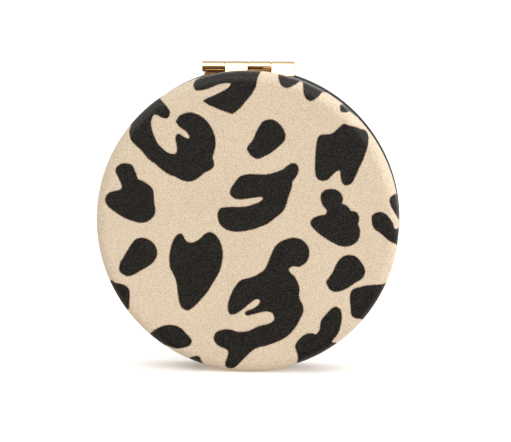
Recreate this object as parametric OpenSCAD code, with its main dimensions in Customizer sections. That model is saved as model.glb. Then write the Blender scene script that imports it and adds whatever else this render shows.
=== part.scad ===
// Round compact mirror, closed and lying on its base, hinge towards +Y.
// Two padded dishes close face to face on a four-knuckle rolled hinge. Each dish is a moulded
// shell with a foam pad and a glued cover outside, and a frame with a mirror inside.
// Each half is drawn with its outer face at z = 0 and its seam face up; the lid is drawn the
// same way and turned over about the seam by in_lid().

/* [Case] */
// Outside diameter of the covered case
case_d = 70; // [64:1:80]
// Thickness of the closed case, lid and base together
case_t = 13; // [11:0.5:16]
// Gap at the seam between lid and base
seam_gap = 0.3; // [0.2:0.05:0.4]
// Clearance of pieces that are glued or pressed together
glue_gap = 0.05; // [0.03:0.01:0.08]

/* [Lid cover] */
// Thickness of the printed suede
suede_t = 0.8; // [0.75:0.05:1]
// Outer radius of the lid's padded shoulder
lid_shoulder_r = 2.5; // [2:0.1:3]

/* [Base cover] */
// Thickness of the black leatherette
leather_t = 0.8; // [0.75:0.05:1]
// Outer radius of the base's shoulder
base_shoulder_r = 2; // [1.8:0.1:2.6]

/* [Shells] */
// Wall and floor of each shell
shell_t = 1; // [0.8:0.1:1.2]

/* [Frames] */
// Width of the frame ring, from the mirror's seat to the shell
rim_w = 4.45; // [4.3:0.1:6]
// How far the flange stays inside the cover's surface at the seam
flange_inset = 0.3; // [0.2:0.05:0.5]
// Rounding of the flange's outer edges
flange_edge_r = 0.2; // [0.1:0.05:0.25]

/* [Mirrors] */
// Thickness of the glass
mirror_t = 1.8; // [1.4:0.1:2]
// Bevel ground round the plain mirror's edge
mirror_bevel = 0.3; // [0.2:0.05:0.5]
// Radius of curvature of the magnifying mirror's hollow face
magnifier_curve_r = 620; // [520:20:1000]
// Thickness of the adhesive disc behind each mirror
tape_t = 0.3; // [0.2:0.05:0.5]
// How far the adhesive disc stays inside the mirror's edge
tape_inset = 1.5; // [1:0.25:3]

/* [Bezels] */
// Width of the gilt ring that holds each mirror
bezel_w = 1.7; // [1.5:0.1:2]
// Height of the bezel at its crown
bezel_t = 0.6; // [0.5:0.05:0.7]
// Height of the bezel's crown above its edges
bezel_crown = 0.35; // [0.2:0.05:0.4]
// How far the bezel's crown lies below the frame's face
bezel_sunk = 0.5; // [0.3:0.05:0.7]
// How far the bezel laps over the glass
bezel_lap = 0.7; // [0.5:0.1:1]

/* [Hinge] */
// Length of the four knuckles together
hinge_l = 21.2; // [18:0.2:25]
// Outside diameter of a knuckle
knuckle_d = 2.3; // [2.2:0.05:2.6]
// Thickness of the rolled sheet
sheet_t = 0.4; // [0.3:0.05:0.45]
// How far the hinge axis lies outside the case's edge
axis_out = 0.7; // [0.5:0.05:1]
// Gap between neighbouring knuckles
knuckle_gap = 0.12; // [0.1:0.02:0.2]
// How far a leaf stays inside the knuckles at each end
leaf_step = 0.55; // [0.3:0.05:0.8]
// Depth of each leaf inside the case
leaf_depth = 3.4; // [3.2:0.1:3.7]
// Clearance round the knuckles for pieces that swing past them
swing_gap = 0.25; // [0.2:0.05:0.3]
// Open slit where the rolled sheet ends beside its leaf
curl_slit = 0.2; // [0.15:0.05:0.3]

/* [Pin] */
// Running clearance of the pin in the lid's knuckles
pin_run_gap = 0.05; // [0.03:0.01:0.08]
// Clearance of the pin in the base's crimped knuckles
pin_hold_gap = 0.02; // [0.01:0.01:0.03]
// How far the pin's ends lie inside the knuckles
pin_sunk = 0.15; // [0.1:0.05:0.3]

/* [Rivets] */
// Distance between a leaf's two rivets
rivet_pitch = 13; // [10:0.5:15]
// Shank diameter
rivet_d = 1.1; // [0.9:0.1:1.3]
// Head diameter, on the frame's face
rivet_head_d = 2; // [1.8:0.1:2.2]
// Head thickness
rivet_head_t = 0.25; // [0.2:0.05:0.3]
// Diameter of the upset tail under the leaf
rivet_tail_d = 1.7; // [1.5:0.1:1.9]

/* [Magnets] */
// Diameter of each disc magnet
magnet_d = 2.5; // [2:0.1:2.6]
// Thickness of each disc magnet
magnet_t = 1.5; // [1:0.1:2]
// Distance between the two magnets of a half
magnet_pitch = 15; // [8:0.5:24]
// How far a magnet lies below its frame's face
magnet_sunk = 0.05; // [0.03:0.01:0.1]

/* [Hidden] */
$fn = 128;

// Heights in a half, from its outer face up to the seam
case_r = case_d / 2;
half_t = (case_t - seam_gap) / 2;
axis_z = case_t / 2;
leaf_z = axis_z - knuckle_d / 2;
flange_z = leaf_z + sheet_t;

// Places along Y at the hinge
axis_y = case_r + axis_out;
leaf_end_y = axis_y - knuckle_d / 2 - swing_gap;
leaf_start_y = leaf_end_y - leaf_depth;
rivet_y = (leaf_start_y + leaf_end_y) / 2;

// Hinge sizes that follow from the ones above
knuckle_count = 4;
knuckle_w = (hinge_l - (knuckle_count - 1) * knuckle_gap) / knuckle_count;
leaf_w = hinge_l - 2 * leaf_step;
swing_r = knuckle_d / 2 + swing_gap;
bore_r = knuckle_d / 2 - sheet_t;
pin_r = bore_r - pin_run_gap;
pin_chamfer = pin_r / 5;
slit_angle = 212;
pocket_gap = 2 * glue_gap;
fold_r = suede_t * 3 / 4;
rivet_hole_r = rivet_d / 2 + glue_gap;
rivet_head_gap = glue_gap;
hollow_steps = 24;

// Radii of a half that depend on its cover's thickness
function shell_outer_r(cover_t) = case_r - cover_t - glue_gap;
function shell_inner_r(cover_t) = shell_outer_r(cover_t) - shell_t;
function frame_outer_r(cover_t) = shell_inner_r(cover_t) - 2 * glue_gap;
function mirror_seat_r(cover_t) = frame_outer_r(cover_t) - rim_w;
function mirror_r(cover_t) = mirror_seat_r(cover_t) - 3 * glue_gap;
function bezel_inner_r(cover_t) = mirror_r(cover_t) - bezel_lap;
function bezel_outer_r(cover_t) = bezel_inner_r(cover_t) + bezel_w;
function bezel_seat_r(cover_t) = bezel_outer_r(cover_t) + 2 * glue_gap;
function magnet_ring_r(cover_t) = (bezel_seat_r(cover_t) + frame_outer_r(cover_t)) / 2;
flange_r = case_r - flange_inset;

// Heights of a half's stack from the seam down; the foam fills what is left under the shell
bezel_z = half_t - bezel_sunk - bezel_t;
mirror_z = bezel_z - mirror_t;
floor_z = mirror_z - tape_t;
shell_z = floor_z - shell_t;
function shell_top_z(cover_t) = flange_z - cover_t;
function rivet_tail_t(cover_t) = cover_t - sheet_t - glue_gap;

// Half of a disc's section with its lower and upper outer edges rounded
module disc_outline(radius, height, low_r, high_r) {
    translate([0, low_r]) square([radius, height - low_r - high_r]);
    square([radius - low_r, height - high_r]);
    square([radius - max(low_r, high_r), height]);
    translate([radius - low_r, low_r]) circle(r = low_r);
    translate([0, low_r]) square([radius - high_r, height - low_r]);
    translate([radius - high_r, height - high_r]) circle(r = high_r);
}

// Half of a disc's section with a rounded lower edge alone
module dish_outline(radius, height, low_r) {
    intersection() {
        square([radius, height]);
        union() {
            square([radius - low_r, height]);
            translate([0, low_r]) square([radius, height]);
            translate([radius - low_r, low_r]) circle(r = low_r);
        }
    }
}

// What lies inside a cover, from the cover's inner face up to z = top
module stuffing_outline(cover_t, shoulder_r, top) {
    translate([0, cover_t])
        dish_outline(shell_outer_r(cover_t), top - cover_t, shoulder_r - cover_t);
}

// Puts a half's piece in the lid, seam face down
module in_lid() {
    translate([0, 0, case_t]) mirror([0, 0, 1]) children();
}

// Draws a section, given in Y and Z, along X from x0 to x1
module along_x(x0, x1) {
    translate([x0, 0, 0]) rotate([90, 0, 90]) linear_extrude(height = x1 - x0) children();
}

// Both rivet places of a leaf
module at_rivets() {
    for (side = [-1, 1]) translate([side * rivet_pitch / 2, rivet_y, 0]) children();
}

// Both magnet places of a half, opposite the hinge
module at_magnets(cover_t) {
    ring_r = magnet_ring_r(cover_t);
    half_pitch = magnet_pitch / 2;
    for (side = [-1, 1])
        translate([side * half_pitch, -sqrt(ring_r * ring_r - half_pitch * half_pitch), 0])
            children();
}

// Room that the turning knuckles need in covers, shells and frames
module swing_space() {
    along_x(-hinge_l / 2 - swing_gap, hinge_l / 2 + swing_gap)
        translate([axis_y, axis_z]) circle(r = swing_r);
}

// Cover glued over a half: its face, its wall and the edge folded over the shell's rim
module cover(cover_t, shoulder_r) {
    difference() {
        rotate_extrude() difference() {
            disc_outline(case_r, flange_z, shoulder_r, fold_r);
            translate([0, cover_t])
                dish_outline(case_r - cover_t, flange_z - 2 * cover_t, shoulder_r - cover_t);
            translate([0, flange_z / 2]) square([shell_inner_r(cover_t), flange_z]);
        }
        swing_space();
        // The cover is trimmed where the leaf and its rivets lie on the rim
        translate([-leaf_w / 2 - pocket_gap, leaf_start_y - pocket_gap, leaf_z - glue_gap])
            cube([leaf_w + 2 * pocket_gap, case_r, case_t]);
        at_rivets() translate([0, 0, shell_top_z(cover_t)])
            cylinder(r = rivet_tail_d / 2 + pocket_gap, h = case_t);
    }
}

// Foam disc between a cover's face and its shell
module foam_pad(cover_t, shoulder_r) {
    rotate_extrude() stuffing_outline(cover_t, shoulder_r, shell_z);
}

// Moulded dish that gives a half its shape
module shell(cover_t, shoulder_r) {
    rotate_extrude() difference() {
        stuffing_outline(cover_t, shoulder_r, shell_top_z(cover_t));
        square([case_r, shell_z]);
        translate([0, floor_z]) square([shell_inner_r(cover_t), case_t]);
    }
}

// Moulded ring that holds the mirror and clamps the cover's folded edge under its flange
module frame(cover_t) {
    difference() {
        rotate_extrude() difference() {
            union() {
                translate([0, floor_z])
                    square([frame_outer_r(cover_t), half_t - floor_z - flange_edge_r]);
                translate([0, flange_z])
                    disc_outline(flange_r, half_t - flange_z, flange_edge_r, flange_edge_r);
            }
            square([mirror_seat_r(cover_t), case_t]);
            translate([0, bezel_z]) square([bezel_seat_r(cover_t), case_t]);
        }
        swing_space();
        // Space for the leaf under the flange
        translate([-leaf_w / 2 - pocket_gap, leaf_start_y - pocket_gap, 0])
            cube([leaf_w + 2 * pocket_gap, case_r, flange_z]);
        at_rivets() cylinder(r = rivet_hole_r, h = case_t);
        at_rivets() translate([0, 0, half_t - rivet_head_t - rivet_head_gap])
            cylinder(r = rivet_head_d / 2 + rivet_head_gap, h = case_t);
        at_magnets(cover_t) translate([0, 0, half_t - magnet_t - magnet_sunk])
            cylinder(r = magnet_d / 2 + glue_gap, h = case_t);
    }
}

// Adhesive disc between the shell's floor and the glass
module mirror_tape(cover_t) {
    translate([0, 0, floor_z]) cylinder(r = mirror_r(cover_t) - tape_inset, h = tape_t);
}

// Plain mirror: a flat glass disc with a bevelled front edge
module plain_mirror(cover_t) {
    r = mirror_r(cover_t);
    translate([0, 0, mirror_z]) rotate_extrude() polygon([
        [0, 0], [r, 0], [r, mirror_t - mirror_bevel], [r - mirror_bevel, mirror_t], [0, mirror_t],
    ]);
}

// Depth of a hollow of radius R and opening half-width a, at distance x from its middle
function hollow_depth(R, a, x) = sqrt(R * R - x * x) - sqrt(R * R - a * a);

// Magnifying mirror: its face is hollowed to a part of a large sphere
module magnifying_mirror(cover_t) {
    r = mirror_r(cover_t);
    a = bezel_inner_r(cover_t);
    translate([0, 0, mirror_z]) rotate_extrude() polygon([
        [0, 0], [r, 0], [r, mirror_t],
        for (i = [hollow_steps : -1 : 0])
            [a * i / hollow_steps,
             mirror_t - hollow_depth(magnifier_curve_r, a, a * i / hollow_steps)],
    ]);
}

// Crowned ring pressed into the frame over the mirror's edge
module bezel(cover_t) {
    half_w = bezel_w / 2;
    crown_r = (half_w * half_w + bezel_crown * bezel_crown) / (2 * bezel_crown);
    rotate_extrude() translate([bezel_inner_r(cover_t), bezel_z]) intersection() {
        square([bezel_w, bezel_t]);
        translate([half_w, bezel_t - crown_r]) circle(r = crown_r);
    }
}

// Disc magnets that hold the case shut
module magnets(cover_t) {
    at_magnets(cover_t) translate([0, 0, half_t - magnet_t - magnet_sunk])
        cylinder(d = magnet_d, h = magnet_t);
}

// Section of one knuckle: the sheet rolled round the pin, with its end slit
module knuckle_outline(hole_r) {
    translate([axis_y, axis_z]) difference() {
        circle(d = knuckle_d);
        circle(r = hole_r);
        rotate(slit_angle) translate([0, -curl_slit / 2]) square([knuckle_d, curl_slit]);
    }
}

// Leaf with every second knuckle, counted from the one named first
module hinge_leaf(first, hole_r) {
    difference() {
        translate([-leaf_w / 2, leaf_start_y, leaf_z]) cube([leaf_w, leaf_depth, sheet_t]);
        at_rivets() cylinder(r = rivet_hole_r, h = case_t);
    }
    for (i = [first : 2 : knuckle_count - 1]) {
        x0 = -hinge_l / 2 + i * (knuckle_w + knuckle_gap);
        x1 = x0 + knuckle_w;
        along_x(x0, x1) knuckle_outline(hole_r);
        // The sheet runs tangent into the knuckle, narrower at the hinge's two ends
        along_x(max(x0, -leaf_w / 2), min(x1, leaf_w / 2)) difference() {
            translate([leaf_end_y - sheet_t, leaf_z])
                square([axis_y - leaf_end_y + sheet_t, sheet_t]);
            translate([axis_y, axis_z]) circle(r = hole_r);
        }
    }
}

// Rivets that hold a leaf under its frame's flange, with flush heads
module rivets(cover_t) {
    tail_t = rivet_tail_t(cover_t);
    head_z = half_t - rivet_head_t - rivet_head_gap;
    at_rivets() {
        translate([0, 0, leaf_z - tail_t]) cylinder(d = rivet_tail_d, h = tail_t);
        translate([0, 0, leaf_z - tail_t]) cylinder(d = rivet_d, h = head_z - leaf_z + tail_t);
        translate([0, 0, head_z]) cylinder(d = rivet_head_d, h = rivet_head_t);
    }
}

// Pin through all four knuckles, held by the base's crimped ones
module pin() {
    pin_l = hinge_l - 2 * pin_sunk;
    translate([-pin_l / 2, axis_y, axis_z]) rotate([0, 90, 0]) {
        translate([0, 0, pin_chamfer]) cylinder(r = pin_r, h = pin_l - 2 * pin_chamfer);
        cylinder(r1 = pin_r - pin_chamfer, r2 = pin_r, h = pin_chamfer);
        translate([0, 0, pin_l - pin_chamfer])
            cylinder(r1 = pin_r, r2 = pin_r - pin_chamfer, h = pin_chamfer);
    }
}

module lid_cover() {
    color([0.88, 0.80, 0.69]) in_lid() cover(suede_t, lid_shoulder_r);
}

module lid_foam_pad() {
    color([0.93, 0.93, 0.90]) in_lid() foam_pad(suede_t, lid_shoulder_r);
}

module lid_shell() {
    color([0.16, 0.16, 0.16]) in_lid() shell(suede_t, lid_shoulder_r);
}

module lid_frame() {
    color([0.09, 0.09, 0.09]) in_lid() frame(suede_t);
}

module lid_mirror() {
    color([0.82, 0.86, 0.87]) in_lid() plain_mirror(suede_t);
}

module lid_mirror_tape() {
    color([0.95, 0.95, 0.95]) in_lid() mirror_tape(suede_t);
}

module lid_bezel() {
    color([0.88, 0.70, 0.42]) in_lid() bezel(suede_t);
}

module lid_magnets() {
    color([0.75, 0.75, 0.76]) in_lid() magnets(suede_t);
}

module lid_hinge_leaf() {
    color([0.88, 0.70, 0.42]) in_lid() hinge_leaf(1, bore_r);
}

module lid_rivets() {
    color([0.88, 0.70, 0.42]) in_lid() rivets(suede_t);
}

module base_cover() {
    color([0.12, 0.11, 0.11]) cover(leather_t, base_shoulder_r);
}

module base_foam_pad() {
    color([0.93, 0.93, 0.90]) foam_pad(leather_t, base_shoulder_r);
}

module base_shell() {
    color([0.16, 0.16, 0.16]) shell(leather_t, base_shoulder_r);
}

module base_frame() {
    color([0.09, 0.09, 0.09]) frame(leather_t);
}

module base_mirror() {
    color([0.82, 0.86, 0.87]) magnifying_mirror(leather_t);
}

module base_mirror_tape() {
    color([0.95, 0.95, 0.95]) mirror_tape(leather_t);
}

module base_bezel() {
    color([0.88, 0.70, 0.42]) bezel(leather_t);
}

module base_magnets() {
    color([0.75, 0.75, 0.76]) magnets(leather_t);
}

module base_hinge_leaf() {
    color([0.88, 0.70, 0.42]) hinge_leaf(0, pin_r + pin_hold_gap);
}

module base_rivets() {
    color([0.88, 0.70, 0.42]) rivets(leather_t);
}

module hinge_pin() {
    color([0.86, 0.70, 0.45]) pin();
}

lid_cover();
lid_foam_pad();
lid_shell();
lid_frame();
lid_mirror();
lid_mirror_tape();
lid_bezel();
lid_magnets();
lid_hinge_leaf();
lid_rivets();
base_cover();
base_foam_pad();
base_shell();
base_frame();
base_mirror();
base_mirror_tape();
base_bezel();
base_magnets();
base_hinge_leaf();
base_rivets();
hinge_pin();
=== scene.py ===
"""Looks of a round folding pocket mirror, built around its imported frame.

The closed case lies on its base with its hinge towards +Y. Every length is in metres, in the
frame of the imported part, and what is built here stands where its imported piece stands.
"""

import logging
import math
from collections.abc import Sequence
from dataclasses import dataclass, field
from enum import Enum

import bmesh
import bpy
import numpy as np
from mathutils import Matrix, Vector, noise


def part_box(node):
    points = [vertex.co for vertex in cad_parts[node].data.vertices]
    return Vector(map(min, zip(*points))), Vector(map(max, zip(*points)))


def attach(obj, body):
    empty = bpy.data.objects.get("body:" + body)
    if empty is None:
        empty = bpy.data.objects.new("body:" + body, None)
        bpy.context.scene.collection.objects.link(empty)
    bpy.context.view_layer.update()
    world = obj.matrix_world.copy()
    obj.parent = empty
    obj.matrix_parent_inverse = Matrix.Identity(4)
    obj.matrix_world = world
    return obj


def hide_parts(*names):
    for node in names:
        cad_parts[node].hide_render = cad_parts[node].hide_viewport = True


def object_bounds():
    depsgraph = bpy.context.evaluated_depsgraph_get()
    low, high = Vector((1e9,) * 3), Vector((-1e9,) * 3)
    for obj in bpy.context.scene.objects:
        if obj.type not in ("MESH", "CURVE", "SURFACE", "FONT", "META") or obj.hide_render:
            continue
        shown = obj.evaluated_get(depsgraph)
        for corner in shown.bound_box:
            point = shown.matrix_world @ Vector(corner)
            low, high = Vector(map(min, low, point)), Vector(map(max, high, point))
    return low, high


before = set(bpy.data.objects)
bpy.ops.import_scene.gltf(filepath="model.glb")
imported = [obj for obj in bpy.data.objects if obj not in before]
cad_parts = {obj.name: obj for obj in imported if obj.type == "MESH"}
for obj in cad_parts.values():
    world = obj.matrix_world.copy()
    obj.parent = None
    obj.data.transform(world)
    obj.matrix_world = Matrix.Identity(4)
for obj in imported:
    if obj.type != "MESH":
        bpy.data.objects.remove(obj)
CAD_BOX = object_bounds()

log = logging.getLogger("pocket_mirror")

MM = 0.001
CASE_T = CAD_BOX[1].z

Point = tuple[float, float]
Colour = tuple[float, float, float]
Box = tuple[Vector, Vector]
Socket = bpy.types.NodeSocket
Value = float | Sequence[float] | Socket
Way = tuple[Socket, Socket, Socket]

# A Mix node has several sockets of one name, so its colours are found by number.
MIX_SHARE = 0
MIX_FIRST = 6
MIX_SECOND = 7
MIX_RESULT = 2

# Soft grain seldom leaves this span, though its values run from 0 to 1.
GRAIN_LOW = 0.35
GRAIN_HIGH = 0.65


class Half(Enum):
    """A half of the case. Its value is the name of the body that it rides on."""

    BASE = "base"
    LID = "lid"

    @property
    def up(self) -> int:
        """Sign of the way from this half's outer face to the seam, along Z."""
        return 1 if self is Half.BASE else -1

    def node(self, piece: str) -> str:
        """Returns the name of this half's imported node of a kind, such as base_cover."""
        return f"{self.value}_{piece}"

    def box(self, piece: str) -> Box:
        """Returns the lowest and the highest corner of this half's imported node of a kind."""
        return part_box(self.node(piece))

    def ends(self, box: Box) -> tuple[float, float]:
        """Returns the heights of a box's outer side and of its side towards the seam."""
        low, high = box
        return (low.z, high.z) if self is Half.BASE else (high.z, low.z)


class Graph:
    """A node tree that is being wired, of a material, a world or a Geometry Nodes recipe."""

    def __init__(self, tree: bpy.types.NodeTree) -> None:
        """Keeps the tree.

        Args:
            tree: the tree that the nodes go into.
        """
        self.tree = tree

    def add(self, kind: str, inputs: dict | None = None, **settings: object) -> bpy.types.Node:
        """Adds one node.

        Args:
            kind: Blender's name of the node's type.
            inputs: values or sockets by the name or the number of the input they feed.
            settings: properties of the node itself.

        Returns:
            The new node.
        """
        node = self.tree.nodes.new(kind)
        for name, value in settings.items():
            setattr(node, name, value)
        for key, value in (inputs or {}).items():
            self.feed(node.inputs[key], value)
        return node

    def feed(self, entry: Socket, value: Value) -> None:
        """Links a socket to an input, or sets the input's own value.

        Args:
            entry: the input that is fed.
            value: an output socket, or a plain value.
        """
        if isinstance(value, Socket):
            self.tree.links.new(value, entry)
        else:
            entry.default_value = value

    def math(self, operation: str, first: Value, second: Value = 0.0) -> Socket:
        """Returns the result of an operation on one or two values."""
        return self.add("ShaderNodeMath", {0: first, 1: second}, operation=operation).outputs[0]

    def vector(self, x: Value = 0.0, y: Value = 0.0, z: Value = 0.0) -> Socket:
        """Returns a vector put together from three values."""
        return self.add("ShaderNodeCombineXYZ", {"X": x, "Y": y, "Z": z}).outputs[0]

    def blend(self, first: Value, second: Value, share: float) -> Socket:
        """Returns a blend of two patterns, of which the second has this share."""
        part = self.math("MULTIPLY", second, share)
        return self.math("ADD", self.math("MULTIPLY", first, 1 - share), part)

    def fit(
        self, value: Value, low: Value, high: Value, to_low: Value = 0.0, to_high: Value = 1.0
    ) -> Socket:
        """Maps a range of a value to another range, smoothly and within its ends.

        Args:
            value: what is mapped.
            low: the value that becomes to_low.
            high: the value that becomes to_high.
            to_low: the result at low.
            to_high: the result at high.

        Returns:
            The mapped value.
        """
        inputs = {"Value": value, "From Min": low, "From Max": high, "To Min": to_low, "To Max": to_high}
        return self.add("ShaderNodeMapRange", inputs, interpolation_type="SMOOTHSTEP").outputs[0]

    def mix(self, share: Value, first: Value, second: Value) -> Socket:
        """Mixes two colours.

        Args:
            share: how much of the second there is.
            first: a colour of three numbers, or a socket.
            second: a colour of three numbers, or a socket.

        Returns:
            The mixed colour.
        """
        node = self.add("ShaderNodeMix", data_type="RGBA")
        self.feed(node.inputs[MIX_SHARE], share)
        for entry, colour in ((MIX_FIRST, first), (MIX_SECOND, second)):
            self.feed(node.inputs[entry], self.full(colour))
        return node.outputs[MIX_RESULT]

    @staticmethod
    def full(colour: Value) -> Value:
        """Returns a socket as it is, and a colour of three numbers with its fourth."""
        return colour if isinstance(colour, Socket) else (*colour, 1.0)

    def shaders(self, share: Value, first: Socket, second: Socket) -> Socket:
        """Returns a mix of two shaders, of which the second has this share."""
        return self.add("ShaderNodeMixShader", {0: share, 1: first, 2: second}).outputs[0]

    def backdrop(self, colour: Value, strength: Value = 1.0) -> Socket:
        """Returns the shader of a world's backdrop of a colour and a strength."""
        inputs = {"Color": self.full(colour), "Strength": strength}
        return self.add("ShaderNodeBackground", inputs).outputs[0]


class ShaderGraph(Graph):
    """The node tree of one material."""

    def __init__(self, name: str) -> None:
        """Makes an empty material.

        Args:
            name: the material's name.
        """
        self.material = bpy.data.materials.new(name)
        self.material.use_nodes = True
        super().__init__(self.material.node_tree)
        self.tree.nodes.clear()
        self.place = self.add("ShaderNodeTexCoord").outputs["Object"]

    def grain(
        self, size: float, detail: float = 2.0, rough: float = 0.5, where: Socket | None = None
    ) -> Socket:
        """Adds soft random grain.

        Args:
            size: distance between its lumps.
            detail: how many finer layers it has.
            rough: how strong the finer layers are.
            where: the place that it is read at, or None for the piece's own coordinates.

        Returns:
            A value from 0 to 1.
        """
        inputs = {"Vector": where or self.place, "Scale": 1 / size, "Detail": detail, "Roughness": rough}
        return self.add("ShaderNodeTexNoise", inputs).outputs["Fac"]

    def patches(
        self, size: float, low: float, high: float, detail: float = 4.0, rough: float = 0.6
    ) -> Socket:
        """Adds soft patches with fine edges, such as of wear.

        Args:
            size: distance between patches.
            low: the grain's value at which a patch starts.
            high: the grain's value at which it is full.
            detail: how many finer layers its edges have.
            rough: how strong the finer layers are.

        Returns:
            A value that is 1 in the middle of a patch and 0 away from it.
        """
        return self.fit(self.grain(size, detail, rough), low, high)

    def cells(self, size: float, where: Socket | None = None) -> Socket:
        """Adds a pattern of cells.

        Args:
            size: distance between cells.
            where: the place that it is read at, or None for the piece's own coordinates.

        Returns:
            The distance to the nearest cell's edge, in cells.
        """
        inputs = {"Vector": where or self.place, "Scale": 1 / size}
        return self.add("ShaderNodeTexVoronoi", inputs, feature="DISTANCE_TO_EDGE").outputs["Distance"]

    def stretched(self, share: float) -> Socket:
        """Returns the piece's own coordinates with X shortened to a share, so that grain is drawn out."""
        return self.add("ShaderNodeMapping", {"Vector": self.place, "Scale": (share, 1.0, 1.0)}).outputs[0]

    def relief(self, height: Value, depth: float, strength: float = 1.0) -> Socket:
        """Turns a height pattern into a bump.

        Args:
            height: the pattern, from 0 to 1.
            depth: how deep the pattern is.
            strength: how strongly it shows.

        Returns:
            The bumped normal.
        """
        node = self.add("ShaderNodeBump", {"Strength": strength, "Distance": depth, "Height": height})
        return node.outputs["Normal"]

    def shader(self, inputs: dict[str, Value]) -> Socket:
        """Adds a principled surface.

        Args:
            inputs: values or sockets by the name of the surface's input.

        Returns:
            The surface's shader.
        """
        node = self.add("ShaderNodeBsdfPrincipled")
        for name, value in inputs.items():
            self.feed(node.inputs[name], self.full(value) if isinstance(value, tuple) else value)
        return node.outputs[0]

    def finish(self, shader: Socket) -> bpy.types.Material:
        """Ends the material in a shader and returns it."""
        self.add("ShaderNodeOutputMaterial", {"Surface": shader})
        return self.material

    def surface(self, inputs: dict[str, Value]) -> bpy.types.Material:
        """Ends the material in one principled surface with these inputs and returns it."""
        return self.finish(self.shader(inputs))


@dataclass(frozen=True)
class PrintedSuede:
    """Beige faux suede with a black animal print whose edges sink softly into the nap."""

    slot: str = "printed_suede"
    print_name: str = "print_mm"
    ground_light: Colour = (0.552, 0.452, 0.334)
    ground_dark: Colour = (0.410, 0.334, 0.243)
    ground_low: float = 0.38
    ground_high: float = 0.62
    ink_dark: Colour = (0.0006, 0.0004, 0.0002)
    ink_light: Colour = (0.0235, 0.0200, 0.0150)
    ink_low: float = 0.42
    ink_high: float = 0.66
    rim: Colour = (0.20, 0.11, 0.06)
    rim_share: float = 0.6
    rim_width_mm: float = 0.30
    fuzz_mm: float = 0.28
    edge_mm: float = 0.11
    fibre: float = 0.14 * MM
    fibre_share: float = 0.3
    nap: float = 0.25 * MM
    mottle: float = 0.60 * MM
    mottle_share: float = 0.2
    streak: float = 0.7
    cloud: float = 11 * MM
    cloud_share: float = 0.07
    nap_depth: float = 0.11 * MM
    roughness: float = 0.48
    specular: float = 0.19
    sheen: float = 0.30
    sheen_roughness: float = 0.40
    sheen_tint: Colour = (1.0, 0.95, 0.90)

    def make(self) -> bpy.types.Material:
        """Builds the material.

        Returns:
            The finished material.
        """
        graph = ShaderGraph(self.slot)
        along = graph.stretched(self.streak)
        nap = graph.grain(self.nap, detail=1.0, where=along)
        rough = graph.blend(nap, graph.grain(self.mottle, where=along), self.mottle_share)
        height = graph.blend(rough, graph.grain(self.fibre), self.fibre_share)
        shade = graph.blend(rough, graph.grain(self.cloud), self.cloud_share)
        shade = graph.fit(shade, self.ground_low, self.ground_high)
        distance = graph.add("ShaderNodeAttribute", attribute_name=self.print_name).outputs["Fac"]
        fuzz = graph.math("MULTIPLY", graph.math("SUBTRACT", nap, 0.5), self.fuzz_mm)
        edge = graph.math("ADD", distance, fuzz)
        ink = graph.fit(edge, -self.edge_mm, self.edge_mm, 1.0, 0.0)
        rim = graph.fit(edge, 0.0, self.rim_width_mm, self.rim_share, 0.0)
        ground = graph.mix(shade, self.ground_dark, self.ground_light)
        ground = graph.mix(rim, ground, self.rim)
        black = graph.mix(graph.fit(rough, self.ink_low, self.ink_high), self.ink_dark, self.ink_light)
        return graph.surface({
            "Base Color": graph.mix(ink, ground, black),
            "Roughness": self.roughness,
            "Specular IOR Level": self.specular,
            "Sheen Weight": self.sheen,
            "Sheen Roughness": self.sheen_roughness,
            "Sheen Tint": self.sheen_tint,
            "Normal": graph.relief(height, self.nap_depth),
        })


@dataclass(frozen=True)
class Leatherette:
    """Black leatherette with a fine pebbled grain, slightly glossier where it is worn, with painted shade in
    the creases between its pebbles.
    """

    slot: str = "black_leatherette"
    dark: Colour = (0.010, 0.010, 0.011)
    light: Colour = (0.024, 0.022, 0.022)
    pebble: float = 0.75 * MM
    crease: float = 0.22
    pore: float = 0.16 * MM
    pore_share: float = 0.2
    worn_patch: float = 9 * MM
    grain_depth: float = 0.16 * MM
    grain_strength: float = 0.9
    low: float = 0.2
    high: float = 0.9
    low_roughness: float = 0.62
    high_roughness: float = 0.44
    worn_less: float = -0.04
    fresh_more: float = 0.06
    specular: float = 0.45

    def make(self) -> bpy.types.Material:
        """Builds the material.

        Returns:
            The finished material.
        """
        graph = ShaderGraph(self.slot)
        bend = graph.grain(self.pebble * 2)
        aside = (graph.math("MULTIPLY", bend, self.pebble), graph.math("MULTIPLY", bend, -self.pebble))
        moved = graph.add("ShaderNodeVectorMath", {0: graph.place, 1: graph.vector(*aside)}, operation="ADD")
        crease = graph.fit(graph.cells(self.pebble, moved.outputs[0]), 0.0, self.crease)
        height = graph.blend(crease, graph.grain(self.pore), self.pore_share)
        gloss = graph.fit(height, self.low, self.high, self.low_roughness, self.high_roughness)
        wear = graph.grain(self.worn_patch, detail=3.0)
        wear = graph.fit(wear, GRAIN_LOW, GRAIN_HIGH, self.worn_less, self.fresh_more)
        # The colour follows the grain's height: darker in the creases between the pebbles and lighter on
        # their tops, which is painted shade in the creases.
        return graph.surface({
            "Base Color": graph.mix(height, self.dark, self.light),
            "Roughness": graph.math("ADD", gloss, wear),
            "Specular IOR Level": self.specular,
            "Normal": graph.relief(height, self.grain_depth, self.grain_strength),
        })


@dataclass(frozen=True)
class MouldedPlastic:
    """Moulded plastic with a fine eroded texture, glossier where it has been handled."""

    slot: str
    colour: Colour
    worn: Colour
    gloss: float = 0.33
    matt: float = 0.38
    texture: float = 0.14 * MM
    texture_depth: float = 0.012 * MM
    texture_strength: float = 0.5
    patch: float = 7 * MM

    def make(self) -> bpy.types.Material:
        """Builds the material.

        Returns:
            The finished material.
        """
        graph = ShaderGraph(self.slot)
        patch = graph.patches(self.patch, GRAIN_LOW, GRAIN_HIGH)
        texture = graph.grain(self.texture)
        return graph.surface({
            "Base Color": graph.mix(patch, self.colour, self.worn),
            "Roughness": graph.fit(patch, 0.0, 1.0, self.gloss, self.matt),
            "Normal": graph.relief(texture, self.texture_depth, self.texture_strength),
        })


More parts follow.
